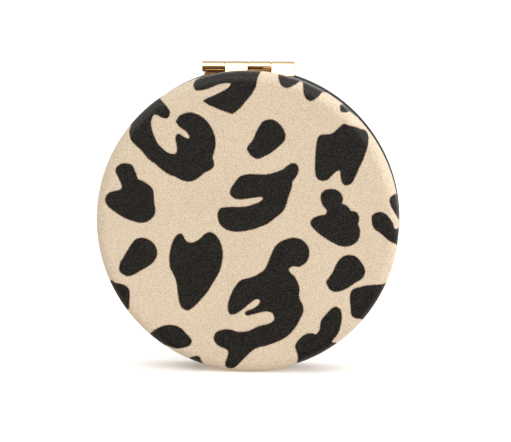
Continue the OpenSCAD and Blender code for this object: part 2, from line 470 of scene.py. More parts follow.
@dataclass(frozen=True)
class PlatedMetal:
    """Polished plating with faint drawing lines along X and small worn patches."""

    slot: str
    colour: Colour
    deep: Colour
    polish: float = 0.05
    haze: float = 0.10
    line: float = 0.05 * MM
    line_share: float = 0.03
    line_depth: float = 0.0003 * MM
    line_strength: float = 0.5
    patch: float = 2.2 * MM
    patch_low: float = 0.45
    patch_high: float = 0.75

    def make(self) -> bpy.types.Material:
        """Builds the material.

        Returns:
            The finished material.
        """
        graph = ShaderGraph(self.slot)
        lines = graph.grain(self.line, detail=3.0, rough=0.6, where=graph.stretched(self.line_share))
        patch = graph.patches(self.patch, self.patch_low, self.patch_high)
        return graph.surface({
            "Base Color": graph.mix(patch, self.colour, self.deep),
            "Metallic": 1.0,
            "Roughness": graph.fit(patch, 0.0, 1.0, self.polish, self.haze),
            "Normal": graph.relief(lines, self.line_depth, self.line_strength),
        })


@dataclass(frozen=True)
class SilveredGlass:
    """Mirror glass with the faintest smudges of use."""

    slot: str = "mirror_glass"
    clear: Colour = (0.90, 0.925, 0.92)
    smudged: Colour = (0.86, 0.885, 0.88)
    smudge: float = 8 * MM
    smudge_low: float = 0.52
    smudge_high: float = 0.80

    def make(self) -> bpy.types.Material:
        """Builds the material.

        Returns:
            The finished material.
        """
        graph = ShaderGraph(self.slot)
        smudge = graph.patches(self.smudge, self.smudge_low, self.smudge_high, detail=5.0, rough=0.65)
        return graph.surface({
            "Base Color": graph.mix(smudge, self.clear, self.smudged),
            "Metallic": 1.0,
            "Roughness": 0.0,
        })


@dataclass(frozen=True)
class Foam:
    """Pale closed-cell foam sheet."""

    slot: str = "foam"
    pale: Colour = (0.80, 0.79, 0.74)
    shaded: Colour = (0.66, 0.65, 0.60)
    cell: float = 0.28 * MM
    cell_wall: float = 0.3
    depth: float = 0.06 * MM
    strength: float = 0.6
    roughness: float = 0.9

    def make(self) -> bpy.types.Material:
        """Builds the material.

        Returns:
            The finished material.
        """
        graph = ShaderGraph(self.slot)
        wall = graph.fit(graph.cells(self.cell), 0.0, self.cell_wall)
        return graph.surface({
            "Base Color": graph.mix(wall, self.pale, self.shaded),
            "Roughness": self.roughness,
            "Normal": graph.relief(wall, -self.depth, self.strength),
        })


@dataclass(frozen=True)
class Tissue:
    """Double-sided adhesive tissue with short fibres."""

    slot: str = "adhesive_tissue"
    pale: Colour = (0.86, 0.85, 0.80)
    fibre_colour: Colour = (0.74, 0.72, 0.66)
    fibre: float = 0.2 * MM
    fibre_share: float = 0.35
    fibre_low: float = 0.4
    fibre_high: float = 0.6
    depth: float = 0.02 * MM
    strength: float = 0.5
    roughness: float = 0.55

    def make(self) -> bpy.types.Material:
        """Builds the material.

        Returns:
            The finished material.
        """
        graph = ShaderGraph(self.slot)
        fibre = graph.grain(self.fibre, detail=4.0, rough=0.7, where=graph.stretched(self.fibre_share))
        shown = graph.fit(fibre, self.fibre_low, self.fibre_high)
        return graph.surface({
            "Base Color": graph.mix(shown, self.pale, self.fibre_colour),
            "Roughness": self.roughness,
            "Normal": graph.relief(fibre, self.depth, self.strength),
        })


class Finishes:
    """All finishes, made once and handed out by the record's slot names."""

    def __init__(self) -> None:
        """Makes every material of the record."""
        kinds = (
            PrintedSuede(),
            Leatherette(),
            Foam(),
            Tissue(),
            SilveredGlass(),
            MouldedPlastic(
                "shell_plastic", (0.030, 0.030, 0.031), (0.040, 0.040, 0.041), gloss=0.45, matt=0.6
            ),
            MouldedPlastic("frame_plastic", (0.011, 0.011, 0.012), (0.018, 0.018, 0.019)),
            PlatedMetal("gilt_brass", (0.92, 0.66, 0.38), (0.85, 0.57, 0.30)),
            PlatedMetal("plated_magnet", (0.70, 0.70, 0.71), (0.58, 0.58, 0.60), polish=0.12, haze=0.25),
        )
        self.by_slot = {kind.slot: kind.make() for kind in kinds}

    def of(self, slot: str) -> bpy.types.Material:
        """Returns the material of a slot."""
        return self.by_slot[slot]

    def dress(self, piece: bpy.types.Object, slot: str) -> None:
        """Puts a slot's material on a whole piece and names the slot.

        Args:
            piece: the object that is dressed.
            slot: the record's material slot.
        """
        materials = piece.data.materials
        if len(materials) == 0:
            materials.append(self.of(slot))
        for index in range(len(materials)):
            materials[index] = self.of(slot)


class Workshop:
    """Makes plain objects and finishes the surfaces of meshes."""

    SHARP_ANGLE = math.radians(20)
    MERGE = 1e-7

    @staticmethod
    def piece(name: str, data: bpy.types.ID) -> bpy.types.Object:
        """Links a new object into the scene, at the origin.

        Args:
            name: the object's name.
            data: its mesh, curve, camera or light.

        Returns:
            The object.
        """
        made = bpy.data.objects.new(name, data)
        bpy.context.scene.collection.objects.link(made)
        return made

    @staticmethod
    def clean(mesh: bpy.types.Mesh) -> None:
        """Merges doubles, turns faces outwards and smooths a closed mesh between its edges.

        Args:
            mesh: the mesh that is cleaned in place.
        """
        work = bmesh.new()
        work.from_mesh(mesh)
        bmesh.ops.remove_doubles(work, verts=work.verts, dist=Workshop.MERGE)
        bmesh.ops.dissolve_degenerate(work, edges=work.edges, dist=Workshop.MERGE)
        bmesh.ops.recalc_face_normals(work, faces=work.faces)
        work.to_mesh(mesh)
        work.free()
        mesh.shade_smooth()
        mesh.set_sharp_from_angle(angle=Workshop.SHARP_ANGLE)
        mesh.update()


class Recipe(Graph):
    """A Geometry Nodes tree that makes one piece from named sizes."""

    def __init__(self, name: str) -> None:
        """Makes an empty tree.

        Args:
            name: the name of the tree and of the piece that it makes.
        """
        super().__init__(bpy.data.node_groups.new(name, "GeometryNodeTree"))
        self.name = name
        self.values: dict[str, float] = {}
        self.entry = self.add("NodeGroupInput")

    def size(self, name: str, value: float) -> Socket:
        """Adds a named size, or a named whole number.

        Args:
            name: the input's name.
            value: its value on this piece.

        Returns:
            The socket that gives the value inside the tree.
        """
        kind = "NodeSocketInt" if isinstance(value, int) else "NodeSocketFloat"
        item = self.tree.interface.new_socket(name, in_out="INPUT", socket_type=kind)
        self.values[item.identifier] = value
        return self.entry.outputs[name]

    def joined(self, *parts: Socket) -> Socket:
        """Joins several geometries.

        Args:
            parts: the geometries.

        Returns:
            All of them as one.
        """
        node = self.add("GeometryNodeJoinGeometry")
        for part in parts:
            self.tree.links.new(part, node.inputs[0])
        return node.outputs[0]

    def repeated(self, shape: Socket, count: int, start: Socket, step: Socket) -> Socket:
        """Sets a shape at even steps along a line.

        Args:
            shape: what is repeated.
            count: how many there are.
            start: the place of the first.
            step: the way from each to the next.

        Returns:
            The repeated shapes, as instances.
        """
        places = self.add("GeometryNodeMeshLine", {"Count": count, "Start Location": start, "Offset": step})
        inputs = {"Points": places.outputs[0], "Instance": shape}
        return self.add("GeometryNodeInstanceOnPoints", inputs).outputs[0]

    def line(self, count: int) -> tuple[Socket, Socket]:
        """Adds a straight curve of many points, to be bent by a rule.

        Args:
            count: how many points it has.

        Returns:
            The curve, and each point's place along it from 0 to 1.
        """
        straight = self.add("GeometryNodeCurvePrimitiveLine")
        dense = self.add("GeometryNodeResampleCurve", {"Curve": straight.outputs[0], "Count": count})
        return dense.outputs[0], self.add("GeometryNodeSplineParameter").outputs["Factor"]

    def rectangle(self, width: Socket, height: Socket) -> Socket:
        """Returns the outline of a rectangle round the origin."""
        inputs = {"Width": width, "Height": height}
        return self.add("GeometryNodeCurvePrimitiveQuadrilateral", inputs).outputs[0]

    def circle(self, steps: Value, radius: Socket) -> Socket:
        """Returns a circle of so many steps round the origin."""
        inputs = {"Resolution": steps, "Radius": radius}
        return self.add("GeometryNodeCurvePrimitiveCircle", inputs).outputs[0]

    def real(self, shape: Socket) -> Socket:
        """Returns a geometry whose instances are made real."""
        return self.add("GeometryNodeRealizeInstances", {"Geometry": shape}).outputs[0]

    def bent(self, curve: Socket, place: Socket) -> Socket:
        """Returns a geometry with every point set to its own place."""
        return self.add("GeometryNodeSetPosition", {"Geometry": curve, "Position": place}).outputs[0]

    def swept(self, path: Socket, section: Socket, caps: bool = False) -> Socket:
        """Returns the surface of a section that is carried along a path."""
        inputs = {"Curve": path, "Profile Curve": section, "Fill Caps": caps}
        return self.add("GeometryNodeCurveToMesh", inputs).outputs[0]

    def bake(self, shape: Socket, material: bpy.types.Material) -> bpy.types.Object:
        """Ends the tree, runs it once and turns its result into a plain mesh.

        Args:
            shape: the finished geometry inside the tree.
            material: what the piece is made of.

        Returns:
            The piece, with no modifier left on it.
        """
        dressed = self.add("GeometryNodeSetMaterial", {"Geometry": self.real(shape), "Material": material})
        self.tree.interface.new_socket("Geometry", in_out="OUTPUT", socket_type="NodeSocketGeometry")
        self.add("NodeGroupOutput", {0: dressed.outputs[0]})
        host = Workshop.piece(self.name, bpy.data.meshes.new(self.name))
        modifier = host.modifiers.new(self.name, "NODES")
        modifier.node_group = self.tree
        for identifier, value in self.values.items():
            modifier[identifier] = value
        graph = bpy.context.evaluated_depsgraph_get()
        mesh = bpy.data.meshes.new_from_object(host.evaluated_get(graph), depsgraph=graph)
        host.modifiers.remove(modifier)
        host.data = mesh
        Workshop.clean(mesh)
        return host


@dataclass(frozen=True)
class PhotoCamera:
    """A long lens above the lid, tilted a little towards the hinge and the right."""

    width_px: float = 511.0
    height_px: float = 442.0
    sensor_mm: float = 36.0
    half_view: float = math.radians(7.3)
    distance: float = 0.4574
    near_share: float = 0.05
    towards: tuple[float, float, float] = (0.086, 0.152, 0.985)
    face_px: Point = (245.8, 224.1)

    @property
    def focal_px(self) -> float:
        """Focal length in pixels of the photograph's frame."""
        return self.width_px / 2 / math.tan(self.half_view)

    def axes(self) -> tuple[Vector, Vector, Vector]:
        """Works out how the camera is turned.

        Returns:
            The camera's right, its up and the way back from the lid to it.
        """
        back = Vector(self.towards).normalized()
        right = Vector((0.0, 1.0, 0.0)).cross(back).normalized()
        return right, back.cross(right), back

    def place(self) -> Vector:
        """Works out where the camera stands, so that the lid's middle falls on its pixel.

        Returns:
            The camera's place.
        """
        right, up, back = self.axes()
        per_px = self.distance / self.focal_px
        across = (self.face_px[0] - self.width_px / 2) * per_px
        above = (self.height_px / 2 - self.face_px[1]) * per_px
        lid_middle = Vector((0.0, 0.0, CASE_T))
        return lid_middle + back * self.distance - right * across - up * above

    def on_face(self, pixel: Point) -> Point:
        """Finds the place on the lid's flat face that shows at a pixel.

        Args:
            pixel: x and y in the photograph's frame.

        Returns:
            X and Y of that place.
        """
        right, up, back = self.axes()
        across = pixel[0] - self.width_px / 2
        above = self.height_px / 2 - pixel[1]
        ray = right * across + up * above - back * self.focal_px
        start = self.place()
        found = start + ray * ((CASE_T - start.z) / ray.z)
        return found.x, found.y

    def make(self) -> None:
        """Adds the camera to the scene."""
        right, up, back = self.axes()
        data = bpy.data.cameras.new("camera")
        data.sensor_width = self.sensor_mm
        data.lens = self.sensor_mm / 2 / math.tan(self.half_view)
        data.clip_start = self.distance * self.near_share
        camera = Workshop.piece("camera", data)
        camera.rotation_mode = "QUATERNION"
        camera.rotation_quaternion = Matrix((right, up, back)).transposed().to_quaternion()
        camera.location = self.place()
        bpy.context.scene.camera = camera


# Places that each spot's outline goes through, in pixels of the photograph.
SPOTS_PX: dict[str, tuple[Point, ...]] = {
    "rosette": (
        (158.5, 99), (163, 102.5), (167, 107), (169.5, 111), (169.5, 115), (167, 118.3), (163, 118),
        (159, 116), (154.5, 114.6), (151.8, 118.5), (151, 124), (152, 130), (154.5, 137), (158, 144),
        (162, 148), (166, 151.5), (170, 153.5), (174, 154), (176.5, 152.5), (177, 149), (176.5, 144),
        (175.5, 140), (175.8, 136.5), (177.5, 134), (180.5, 134.5), (184, 137), (187.5, 138.5),
        (189.5, 137.5), (188.5, 134.5), (185, 130.5), (181, 128), (178, 125), (176, 121.5), (177.5, 118.5),
        (180, 115.5), (184, 113.5), (190, 112.5), (196, 113.8), (202, 117), (207, 121.5), (211, 127),
        (214, 134), (215.5, 141), (215, 148), (213.5, 154), (212.5, 157), (213.5, 161), (214, 165),
        (212, 168.5), (208, 171), (204, 173), (200, 176.5), (195, 180), (190, 181.5), (185, 181),
        (180, 179.5), (175, 176.5), (170, 175), (165, 172), (160, 168), (155, 163.5), (150, 160.5),
        (145, 155), (140, 149), (135, 144.5), (131, 140), (129.5, 135), (129, 130), (130, 126.5),
        (122, 120), (112, 112), (128, 94), (144.5, 82.5), (151, 92),
    ),
    "top_band": (
        (193.3, 85), (194.5, 81.5), (197.5, 79), (198, 74), (193, 57), (227, 50), (261, 49), (261, 60),
        (260.5, 70), (259, 74), (257, 80), (256, 86), (253.5, 91), (251, 95), (248, 98.5), (245, 102),
        (241, 107), (237, 110.5), (234, 113), (231.5, 113.8), (228, 112.5), (222, 110.5), (215, 107.5),
        (209, 105), (205, 102.5), (203, 101), (205, 99.5), (209, 97.5), (214, 95.5), (220, 92.5), (225, 90),
        (229, 87), (231, 84), (229.5, 83), (224, 83.3), (218, 84.5), (212, 87), (206, 89.3), (201, 90.3),
        (197, 90.5), (194.5, 89),
    ),
    "hinge_right": (
        (278.3, 74), (278, 77.5), (279.5, 82), (281.5, 85.5), (285, 87.5), (288, 87.7), (292, 86.2),
        (296, 84), (299, 82.3), (300.5, 82), (302.3, 83.5), (303, 87), (303.3, 91), (304.5, 96),
        (307, 99.3), (310, 101), (314, 99.8), (318, 97), (320, 94.5), (323, 92.5), (325.5, 91.2), (332, 84),
        (337, 75), (302, 58), (281, 52), (279, 63),
    ),
    "edge_chip": (
        (340, 106), (342.5, 104.3), (349, 99), (357, 89), (371, 102), (361, 112), (354, 113), (350, 112.5),
        (346, 112.7), (342, 112.2), (340.3, 110.5), (340, 108),
    ),
    "upper_oval": (
        (269.5, 119.5), (273.5, 120), (278, 122.8), (281.5, 126.3), (284, 130.5), (285.5, 135.5),
        (284.7, 140), (281.5, 144), (277, 148), (271, 152.8), (265, 156), (260, 158.3), (256.5, 158.8),
        (253, 157), (250, 154.5), (248.3, 152), (247, 149.5), (248, 146), (251, 142.5), (253.5, 138.5),
        (256, 132.5), (259, 127), (262, 122.5), (265.5, 120.3),
    ),
    "boot": (
        (344, 123.8), (349, 125.5), (355, 127), (360, 129), (365, 131), (367.5, 134.5), (368.3, 140),
        (367.5, 147), (365.5, 153), (363, 160), (360, 166), (357.5, 172), (355, 177.5), (352.5, 182),
        (350, 184.3), (347, 185.3), (344, 184.8), (342, 182), (341, 178.5), (340.3, 174), (340, 171),
        (337, 171), (333.5, 174), (330.5, 177), (327.5, 179.7), (323, 180.8), (319, 179.8), (316.3, 177),
        (315.2, 172), (315, 166), (315.3, 158), (316, 148), (317, 140.5), (318.5, 137), (320.5, 135),
        (325, 134.5), (330, 134.2), (333.5, 132.5), (337, 129.5), (340.5, 126.3),
    ),
    "swoosh": (
        (293, 163), (296.5, 164.3), (298.3, 167.5), (298.3, 171.5), (296.5, 176), (294, 179.5),
        (292.3, 181.5), (292, 186), (290.5, 191), (288.5, 196.5), (287, 202), (285, 207.5), (283, 211),
        (280, 214), (275, 218), (270, 222), (265, 225), (260, 226.8), (255, 228.8), (250, 230),
        (243, 231.2), (236, 231.7), (230, 230.8), (225, 228.7), (220.5, 225), (218.3, 220), (217.5, 215),
        (218.5, 211), (220.5, 208.5), (225, 207.3), (232, 207), (240, 207), (247, 206.3), (253, 204.5),
        (258, 202.8), (261, 201), (263, 198.3), (261, 197), (255, 197.5), (248, 198.5), (242, 199.3),
        (238, 199.3), (234, 198), (231, 195.5), (230, 192), (231, 188.5), (234, 183.5), (237, 179.5),
        (240, 176.5), (244, 175), (250, 174.2), (258, 174.3), (266, 174.5), (273, 173), (279, 171),
        (283.5, 169), (287, 166), (290, 164),
    ),
    "left_blob": (
        (125, 163.3), (130, 164), (133, 166.5), (135, 171), (136.5, 175), (138, 179), (142, 180.8),
        (147, 183.7), (151, 187), (153.2, 190.5), (153.8, 195), (154, 202), (155.2, 208), (155, 213),
        (153, 217), (150, 219.8), (146, 222), (140, 222.8), (134, 221.3), (127, 219), (120, 215.2),
        (113, 210.5), (108, 206.3), (105.8, 202.5), (105.2, 199), (106.5, 195.5), (109.5, 192.5),
        (114, 191.2), (119, 190), (121.5, 188), (121.5, 185), (119.5, 180), (117, 175), (115.5, 171),
        (116.5, 167.5), (120, 164.3),
    ),
    "left_oval": (
        (142, 237.8), (147, 238.8), (151, 241.3), (154.5, 244.8), (156.5, 249), (157.2, 253.5),
        (155.7, 258.5), (152, 263.5), (147, 267), (141, 270.3), (135, 274), (130, 275.9), (126, 275.8),
        (122, 273.5), (119.7, 271), (119.2, 267.5), (120.3, 262.5), (123, 258), (126.5, 252),
        (130.5, 245.5), (134, 240.8), (138, 238.3),
    ),
    "heart": (
        (180.5, 233.5), (183.5, 236), (185, 239.5), (188, 242), (192, 242.6), (196, 241.2), (200.5, 238.3),
        (204.5, 234.2), (208.5, 232.3), (212, 232.6), (216, 235.5), (219.5, 240.5), (221.8, 247),
        (222.8, 254), (222, 262), (220, 270), (216, 278), (212, 284.5), (208.5, 290.5), (204, 296),
        (199.5, 301), (194.5, 306), (190, 309.5), (187, 310.3), (183.5, 309), (181, 306.5), (179.3, 302),
        (178.3, 296), (177.5, 290), (176.5, 283), (175, 277.5), (172, 271.5), (170, 267), (169.3, 260),
        (169.5, 255), (171, 247), (173.5, 240), (176.5, 235.5),
    ),
    "left_edge": (
        (111, 281), (114.5, 282.8), (119.5, 283.8), (124, 285), (127.5, 287.5), (129.3, 290.5),
        (129.7, 297), (129, 303.5), (128.3, 309), (121, 316), (105, 328), (84, 291), (102, 284),
    ),
    "bottom_oval": (
        (151, 333.5), (154, 330.5), (158, 328), (163, 326), (168, 325), (173, 325.2), (178, 326.7),
        (182.5, 329.5), (186, 333.5), (189.5, 337), (191.8, 340.8), (190.5, 344.3), (187.5, 346.5),
        (183, 347.9), (178, 348.7), (173, 348.2), (168.5, 346.8), (159, 344), (150, 337),
    ),
    "bottom_chip": (
        (190, 358.5), (194, 357), (197.5, 356), (200, 358), (201, 361), (202, 363.3), (200, 374),
        (195, 389), (180, 386), (187, 368),
    ),
    "great_figure": (
        (295, 237.9), (299.5, 238.8), (303.5, 241), (307, 245), (309, 249.5), (309, 255), (307.8, 259.5),
        (305.5, 263), (302, 265.5), (299, 266.8), (295, 266.3), (291.5, 266.8), (289, 268.5), (289, 271),
        (291, 273.5), (294.5, 276.5), (297, 281), (298.8, 285.5), (299.5, 290), (299, 295), (300, 300),
        (302, 303.5), (303.3, 307.5), (303.3, 311.5), (301.5, 316), (299, 321), (296, 326.5), (292, 331.5),
        (288, 335.5), (283, 339), (277.5, 341.5), (271, 344), (265, 346), (259, 347.3), (254, 349.5),
        (249.5, 353), (245, 357.5), (240, 362.5), (235.5, 367), (232, 369), (228, 368.7), (225.5, 366.5),
        (225.2, 362.5), (226.7, 359), (228, 354.5), (228, 351.5), (226, 349), (222, 347.5), (218, 345.3),
        (215, 342), (213.8, 338), (215, 334), (217.5, 331.5), (222, 330), (227, 329.3), (231.5, 330),
        (237, 331.7), (243, 331.9), (248, 331), (252, 329.5), (257, 327), (262, 325.3), (267, 324.3),
        (271.5, 322.5), (274, 320), (274, 317), (272.5, 313.5), (269, 311.8), (264, 311.7), (258, 313),
        (252, 314.5), (248, 315.6), (245.5, 314.5), (245.3, 312.3), (247, 310.8), (251, 309.5),
        (255, 307.5), (258.5, 304.5), (260, 301.5), (258.7, 299.3), (255.5, 299.5), (252, 301.5),
        (248, 304.7), (243, 309), (238, 312.5), (234, 314.3), (230.5, 314.2), (228.3, 311.5), (227.8, 306),
        (228.8, 300.5), (230.8, 295), (233, 290), (236, 285.5), (239, 281.8), (243, 279.3), (249, 278),
        (255, 276), (260, 273), (264.3, 269.8), (267, 265), (269, 260), (271, 255), (273.5, 249.5),
        (276.5, 245), (281, 241.5), (286, 239.3), (291, 238),
    ),
    "right_figure": (
        (331, 189), (335.5, 189.6), (339.5, 192), (342, 195.5), (343, 200), (342, 203.5), (346, 205.3),
        (349, 208), (351, 210.8), (355, 211.5), (357.5, 213.5), (359, 217), (359, 220.5), (358, 224),
        (359.5, 228), (360, 233), (358.7, 239), (355.5, 243), (350.5, 245.7), (345, 246.5), (339, 245.6),
        (333, 242.8), (327, 239.3), (320.5, 234.8), (315, 230), (311.5, 226), (310.5, 222.5), (312, 219.3),
        (315.5, 217), (320.5, 215.3), (324.5, 214.9), (326.7, 212.5), (326.5, 209.8), (323.5, 206.3),
        (321.5, 202), (320.7, 197.5), (321.5, 193.3), (325.5, 190),
    ),
    "right_oval": (
        (349, 255), (354, 255.8), (358, 258.5), (361.3, 262.5), (364, 267), (365.1, 271.5), (363.8, 276),
        (360.5, 279.7), (355, 283), (349.5, 286.7), (344, 289.8), (338, 291.6), (333.5, 291.5),
        (330, 289.5), (327.5, 286), (326.2, 282), (328, 279), (331, 275), (333.3, 271), (335.5, 266),
        (338, 261.5), (341.5, 257.8), (345, 255.8),
    ),
    "right_edge": (
        (379.5, 212), (383, 212.7), (387, 215.3), (390.5, 219.5), (393, 224), (394, 228), (395.5, 229.7),
        (397.5, 229.5), (406, 228), (417, 228), (415, 253), (404, 251), (396, 245), (393, 243.3),
        (389, 240.5), (384, 236.3), (379.5, 232.5), (375, 229.5), (372.7, 225.5), (371.7, 221),
        (371.7, 217.5), (372.5, 215), (376, 212.8),
    ),
    "right_hook": (
        (389.8, 199.5), (390.5, 197.5), (393, 195.6), (396.5, 195.3), (406, 195), (417, 192), (418, 221),
        (407, 221), (398.3, 220), (396.5, 216.5), (394, 212), (391.5, 207.5), (389.8, 202.5),
    ),
    "lower_right_edge": (
        (384.5, 284.5), (379, 284.8), (372, 285), (366, 285.6), (360, 287), (354, 288.8), (351.5, 291),
        (350.2, 295), (350, 301), (350.7, 308), (351, 313.5), (352.5, 316.5), (356, 318.5), (361, 319.8),
        (368, 326), (378, 337), (407, 287), (396, 283),
    ),
    "bottom_right": (
        (336, 306.8), (339.5, 308.5), (341.2, 312), (341.8, 317.5), (341, 324), (339.3, 330.5),
        (336.5, 335.8), (333.5, 339.5), (332, 341.5), (333, 343.3), (335.5, 344), (342, 353), (349, 363),
        (304, 387), (300, 377), (297, 362.8), (298, 358.5), (297.3, 353.5), (295.7, 349), (295.3, 345.5),
        (297, 342), (300, 338.5), (303.5, 335.5), (308, 333.6), (312.5, 333.3), (315.5, 334.3),
        (317.5, 333), (319.5, 329.8), (320.2, 325), (321.5, 320), (325, 315.5), (329, 311), (332.5, 308),
    ),
}


@dataclass
class Cover:
    """A cover drawn over one half: its padded face, its shoulder, its wall and its folded edge."""

    half: Half
    slot: str
    shoulder: float
    spacing: float
    thickness: float = 0.8 * MM
    fold: float = 0.6 * MM
    fold_in: float = 33.15 * MM
    notch_depth: float = 5.28 * MM
    notch_start: float = 3.3 * MM
    notch_half: float = 10.25 * MM
    notch_ramp: float = 0.5 * MM
    pleats: int = 132
    pleat: float = 0.055 * MM
    pleat_reach: float = 1.5 * MM
    pleat_sways: tuple[tuple[float, int, float], ...] = ((2.1, 7, 0.0), (1.3, 17, 1.0))
    swell: float = 0.025 * MM
    swell_size: float = 6 * MM
    net_sides: int = 6
    arc_steps: int = 6
    wall_coarse: float = 1.2
    fold_coarse: float = 2.5
    inner_coarse: float = 5.0
    slack: float = 0.001 * MM
    flat_area_share: float = math.pi / 4
    radius: float = field(init=False)
    depth: float = field(init=False)

    def __post_init__(self) -> None:
        """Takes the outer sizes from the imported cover."""
        low, high = self.half.box("cover")
        self.radius = high.x
        self.depth = high.z - low.z

    @property
    def flat(self) -> float:
        """Radius of the flat part of the face."""
        return self.radius - self.shoulder

    @property
    def face_run(self) -> float:
        """Length along the outside from the middle to the end of the shoulder."""
        return self.flat + self.shoulder * math.pi / 2

    def run_of(self, radius: float) -> float:
        """Finds how far along the outside a place lies that shows at a radius.

        Args:
            radius: distance from the middle, seen along the axis, or more than the case's radius
                for a place down the wall.

        Returns:
            The length along the outside from the middle.
        """
        if radius <= self.flat:
            return radius
        if radius < self.radius:
            return self.flat + self.shoulder * math.asin((radius - self.flat) / self.shoulder)
        return self.face_run + radius - self.radius

    def face_place(self, run: float) -> Point:
        """Returns radius and depth of the place so far along the face and its shoulder."""
        turn = max(0.0, run - self.flat) / self.shoulder
        return min(run, self.flat) + self.shoulder * math.sin(turn), self.shoulder * (1 - math.cos(turn))

    def turn(self, centre: Point, radius: float, start: float, end: float) -> list[Point]:
        """Returns the places along an arc of the section, in quarter turns from start to end."""
        angles = np.linspace(start, end, self.arc_steps + 1)[1:] * math.pi / 2
        return [(centre[0] + radius * math.cos(a), centre[1] + radius * math.sin(a)) for a in angles]

    def straight(self, start: Point, end: Point, step: float) -> list[Point]:
        """Returns the places along a straight part of the section, without its start."""
        count = max(1, round(math.dist(start, end) / step))
        return [tuple(np.add(start, np.subtract(end, start) * i / count)) for i in range(1, count + 1)]

    def edge_places(self) -> list[Point]:
        """Lays out the section from the shoulder's end round the fold to the inner face.

        Returns:
            Radius and depth of each place.
        """
        fold_z = self.depth - self.fold
        inner = self.radius - self.thickness
        inner_z = self.depth - self.thickness
        inner_arc = self.shoulder - self.thickness
        wall_step = self.spacing * self.wall_coarse
        fold_step = self.spacing * self.fold_coarse
        places = self.straight((self.radius, self.shoulder), (self.radius, fold_z), wall_step)
        places += self.turn((self.radius - self.fold, fold_z), self.fold, 0, 1)
        places += self.straight((self.radius - self.fold, self.depth), (self.fold_in, self.depth), wall_step)
        places += self.straight((self.fold_in, self.depth), (self.fold_in, inner_z), fold_step)
        places += self.straight((self.fold_in, inner_z), (inner, inner_z), fold_step)
        places += self.straight((inner, inner_z), (inner, self.shoulder), self.spacing * self.inner_coarse)
        places += self.turn((self.flat, self.shoulder), inner_arc, 0, -1)
        return places

    def raw(self) -> tuple[np.ndarray, np.ndarray, list[tuple[int, ...]]]:
        """Lays out the cover's points and faces.

        Returns:
            Radius, angle and depth of each point, each point's length along the outside from the
            middle, and the faces.
        """
        rings = round(self.face_run / self.spacing)
        points = [(0.0, 0.0, 0.0)]
        runs = [0.0]
        faces = []
        for ring in range(rings):
            run = self.face_run * (ring + 1) / rings
            radius, depth = self.face_place(run)
            count = self.net_sides * (ring + 1)
            points += [(radius, math.tau * i / count, depth) for i in range(count)]
            runs += [run] * count
            faces += self.ring_faces(ring)
        around = self.net_sides * rings
        last = len(points) - around
        run = self.face_run
        before = self.face_place(run)
        for place in self.edge_places():
            run += math.dist(before, place)
            before = place
            first = len(points)
            points += [(place[0], math.tau * i / around, place[1]) for i in range(around)]
            runs += [run] * around
            for i in range(around):
                j = (i + 1) % around
                faces.append((last + i, last + j, first + j, first + i))
            last = first
        centre = len(points)
        points.append((0.0, 0.0, self.thickness))
        runs.append(run)
        faces += [(last + i, last + (i + 1) % around, centre) for i in range(around)]
        return np.array(points), np.array(runs), faces

    def ring_faces(self, ring: int) -> list[tuple[int, int, int]]:
        """Lays the face's net of triangles between two of its rings, side by side.

        Args:
            ring: number of the inner ring, which is 0 for the middle point.

        Returns:
            The triangles between that ring and the next.
        """
        sides = self.net_sides
        inner = 0 if ring == 0 else 1 + sides * ring * (ring - 1) // 2
        outer = 1 + sides * ring * (ring + 1) // 2
        count = sides * (ring + 1)
        faces = []
        for side in range(sides):
            for i in range(ring + 1):
                place = side * (ring + 1) + i
                near = outer + place
                far = outer + (place + 1) % count
                here = inner + ((side * ring + i) % (sides * ring) if ring else 0)
                faces.append((near, far, here))
                if i < ring:
                    faces.append((here, far, inner + (side * ring + i + 1) % (sides * ring)))
        return faces

    def shaped(self, points: np.ndarray) -> np.ndarray:
        """Gives the plain turned form its pleats, its soft unevenness and its hinge notch.

        Args:
            points: radius, angle and depth of each point.

        Returns:
            X, Y and Z of each point.
        """
        radius, angle, depth = points.T.copy()
        near_fold = np.clip((depth - self.depth + self.pleat_reach) / self.pleat_reach, 0, 1) ** 2
        sway = sum(size * np.sin(turns * angle + start) for size, turns, start in self.pleat_sways)
        wave = np.cos(self.pleats * angle + sway)
        outside = radius > self.radius - self.thickness / 2
        radius = radius - np.where(outside, near_fold * self.pleat * (0.5 - 0.5 * wave), 0)
        x = radius * np.cos(angle)
        y = radius * np.sin(angle)
        room = np.clip((self.notch_half + self.notch_ramp - np.abs(x)) / self.notch_ramp, 0, 1)
        room = room * room * (3 - 2 * room) * (y > 0)
        squeeze = (self.notch_depth - self.notch_start) / (self.depth - self.notch_start)
        notched = self.notch_start + (depth - self.notch_start) * squeeze
        depth = np.where(depth > self.notch_start, depth + (notched - depth) * room, depth)
        top = depth < self.shoulder
        lift = [noise.noise(Vector((a, b, 0.0)) / self.swell_size) for a, b in zip(x[top], y[top])]
        sunk = np.zeros_like(depth)
        sunk[top] = np.array(lift) * self.swell + self.swell
        inside = (depth >= self.thickness - self.slack) & (radius < self.flat)
        depth = depth + np.where(inside, 0.0, sunk)
        heights = depth if self.half is Half.BASE else CASE_T - depth
        return np.stack([x, y, heights], axis=1)

    def make(self, finishes: Finishes, artwork: "AnimalPrint | None" = None) -> bpy.types.Object:
        """Args:
            finishes: the materials.
            artwork: the print, or None for a plain cover.

        Returns:
            The cover.
        """
        points, runs, faces = self.raw()
        mesh = bpy.data.meshes.new(self.half.node("cover_drawn"))
        mesh.from_pydata(self.shaped(points).tolist(), [], faces)
        if artwork is not None:
            flat = np.stack([runs * np.cos(points[:, 1]), runs * np.sin(points[:, 1])], axis=1)
            layer = mesh.attributes.new(PrintedSuede.print_name, "FLOAT", "POINT")
            layer.data.foreach_set("value", artwork.distances(flat, runs <= self.face_run + self.depth))
        Workshop.clean(mesh)
        cover = Workshop.piece(self.half.node("cover_drawn"), mesh)
        finishes.dress(cover, self.slot)
        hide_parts(self.half.node("cover"))
        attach(cover, self.half.value)
        rests = [self.half.node("shell"), self.half.node("frame")]
        return cover


